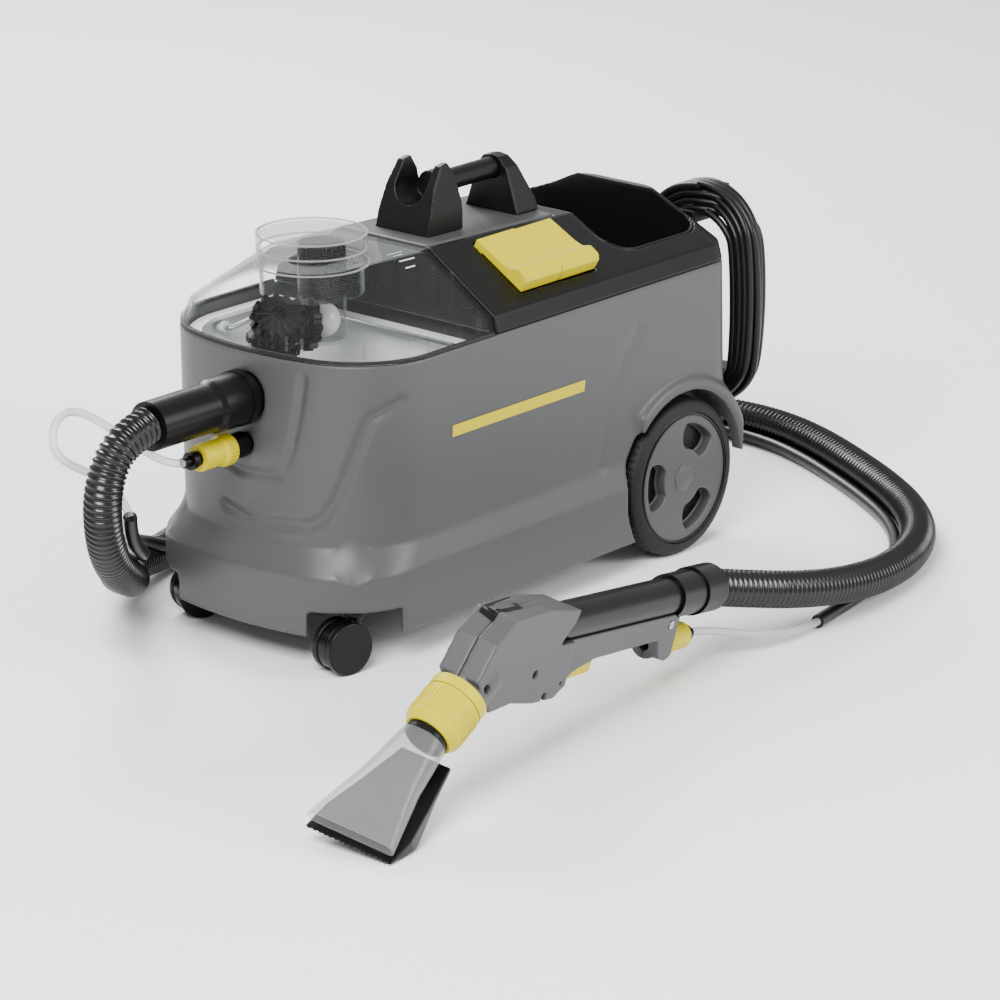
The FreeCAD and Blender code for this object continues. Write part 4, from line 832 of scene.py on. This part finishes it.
def turned(name, profile, centre, axis, around=72, teeth=0, tooth=0.0, sharp=35):
    """A ring turned about an axis from (radius, height) pairs in millimetres; teeth cut its rim."""
    axis = Vector(axis).normalized()
    side = axis.orthogonal().normalized()
    other = axis.cross(side)
    widest = max(r for r, h in profile)
    points = []
    for step in range(around):
        angle = 2 * math.pi * step / around
        cut = tooth if teeth and (step * teeth * 2 // around) % 2 else 0.0
        for radius, height in profile:
            reach = (radius - (cut if radius > widest - tooth else 0.0)) / 1000
            points.append(Vector(centre) + (side * math.cos(angle) + other * math.sin(angle)) * reach
                          + axis * height / 1000)
    return mesh_from(name, points, ring_faces(around, len(profile)), sharp)


up = (0, 0, 1)
float_x = -0.169
dome_x = -0.183
sleeve = [(21.6, 0), (24, 0), (24, 52), (21.6, 52)]
wall = [(50.4, 0), (51.6, 0), (51.6, 31), (24, 31), (24, 29.5), (50.4, 29.5)]
cup = [(0.1, 0), (24, 0), (24, 45), (22.5, 45), (22.5, 3), (0.1, 3)]
add_piece("float_sleeve", turned("float_sleeve", sleeve, (float_x, 0, 0.341), up), "float_grey", "lid",
          ["float_cage"])
add_piece("float_wall", turned("float_wall", wall, (dome_x, 0, 0.347), up), "lid_clear", "lid")
dome_rings = (("dome_rim", 55.2, 0.4056), ("dome_band", 55.2, 0.3905), ("dome_foot", 57.5, 0.3755))
for name, width, height in dome_rings:
    band = [(width - 2.2, 0), (width, 0), (width, 1.2), (width - 2.2, 1.2)]
    rim = add_piece(name, turned(name, band, (dome_x, 0, height), up, 96), "lid_clear", "lid")
    rim.data.materials[0] = finish["rim_clear"]
add_piece("float_cup", turned("float_cup", cup, (float_x, 0, 0.294), up), "lid_clear", "lid")

# %% Castellated rings on the inlet elbow
elbow_ring = [(21.5, -3), (26.5, -3), (26.5, 3), (21.5, 3)]
crown = [(8, 18), (8, 23), (26, 21), (28.5, 12), (27, 9), (21, 9)]
mouth = [(19.2, -4), (27, -4), (27, 5), (19.2, 5)]
for index, height in enumerate((0.284, 0.298, 0.312)):
    ring_mesh = turned("elbow_ring", elbow_ring, (-0.240, 0, height), up, 120, 20, 2.5)
    add_piece("elbow_ring_" + str(index), ring_mesh, "part_black", "root")
crown_mesh = turned("elbow_crown", crown, (-0.236, -0.002, 0.322), (-0.4, -0.5, 0.75), 112, 14, 4)
add_piece("elbow_crown", crown_mesh, "part_black", "root")
mouth_mesh = turned("elbow_mouth", mouth, (-0.206, -0.013, 0.3205), (0.93, -0.36, -0.1), 112, 14, 3)
add_piece("elbow_mouth", mouth_mesh, "part_black", "root")

# %% [markdown]
# ## Wheels and couplings
# A thin black ring fills the groove between tyre and disc, and a black ring laid on the floor of each
# wheel disc's pockets is painted shade that darkens the deep pockets. The yellow grips of the couplings
# and the big nut have fine flutes, so that wet hands can turn them.

# %% Wheel rings and flutes
bead = [(66.8, -1), (68.6, -1), (68.6, 1.2), (66.8, 1.2)]
hub = [(0.1, 0), (15, 0), (15.8, 0.6), (13, 1.6), (0.1, 2.2)]
pocket_shade_ring = [(29, 0), (60, 0), (60, 0.6), (29, 0.6)]
for name, side in (("near", -1), ("far", 1)):
    face, out = side * 0.1472, (0, side, 0)
    bead_mesh = turned("wheel_ring", bead, (wheel_x, face, wheel_height), out, 120)
    add_piece("wheel_ring_" + name, bead_mesh, "part_black", "wheel_" + name)
    hub_mesh = turned("hub_cap", hub, (wheel_x, face - side * 0.0004, wheel_height), out, 6, sharp=20)
    add_piece("hub_cap_" + name, hub_mesh, "housing_grey", "wheel_" + name)
    # This black ring on the pocket floor is painted shade: it darkens the deep pockets where shade falls.
    pocket_shade_mesh = turned("pocket_painted_shade", pocket_shade_ring, (wheel_x, side * 0.1335, wheel_height), out, 96)
    add_piece("pocket_painted_shade_" + name, pocket_shade_mesh, "part_black", "wheel_" + name)


def flutes(name, centre, axis, radius, start, end, count, body):
    """Raised flutes spaced round a grip."""
    middle = (start + end) / 2000
    spots = []
    for index in range(count):
        angle = 2 * math.pi * index / count
        way = (math.cos(angle), math.sin(angle), 0)
        spots.append(((way[0] * radius / 1000, way[1] * radius / 1000, middle), way))
    lean = Vector((0, 0, 1)).rotation_difference(Vector(axis).normalized()).to_matrix().to_4x4()
    place = Matrix.Translation(Vector(centre)) @ lean
    return ribs(name, spots, (0.0012, 0.0014, (end - start) / 1000), "signal_yellow", body, place)


wand_way = (0.97322, 0.15066, -0.17365)
nozzle_way = (-0.87123, -0.02193, -0.49038)
flutes("nut_flutes", (-0.45424, -0.42836, 0.10733), nozzle_way, 28.5, 17, 43, 40, "nut")
flutes("machine_flutes", (-0.306, 0, 0.214), (-1, 0, 0), 15.5, 1.5, 11, 26, "sleeve_machine")
flutes("wand_flutes", (-0.10359, -0.37478, 0.04878), wand_way, 15.5, 1.5, 11, 26, "sleeve_wand")

# %% Nozzle finish and the window on the wand's head
nodes["nozzle_cover"].data.materials[0] = finish["nozzle_clear"]
head = [moulds["wand_shell_near"], moulds["wand_shell_far"]]
down = (0, 0, -1)
pane = [(-0.421, -0.4375, 0.4), (-0.369, -0.4295, 0.4), (-0.367, -0.411, 0.4), (-0.419, -0.419, 0.4)]
bar = [(-0.412, -0.4315, 0.4), (-0.376, -0.426, 0.4), (-0.375, -0.4185, 0.4), (-0.411, -0.424, 0.4)]
film("head_window", pane, 12, head, down, 0.0005, "part_black", "root")
film("head_window_bar", bar, 12, head, down, 0.0011, "housing_grey", "root")
print("turned parts and flutes made")
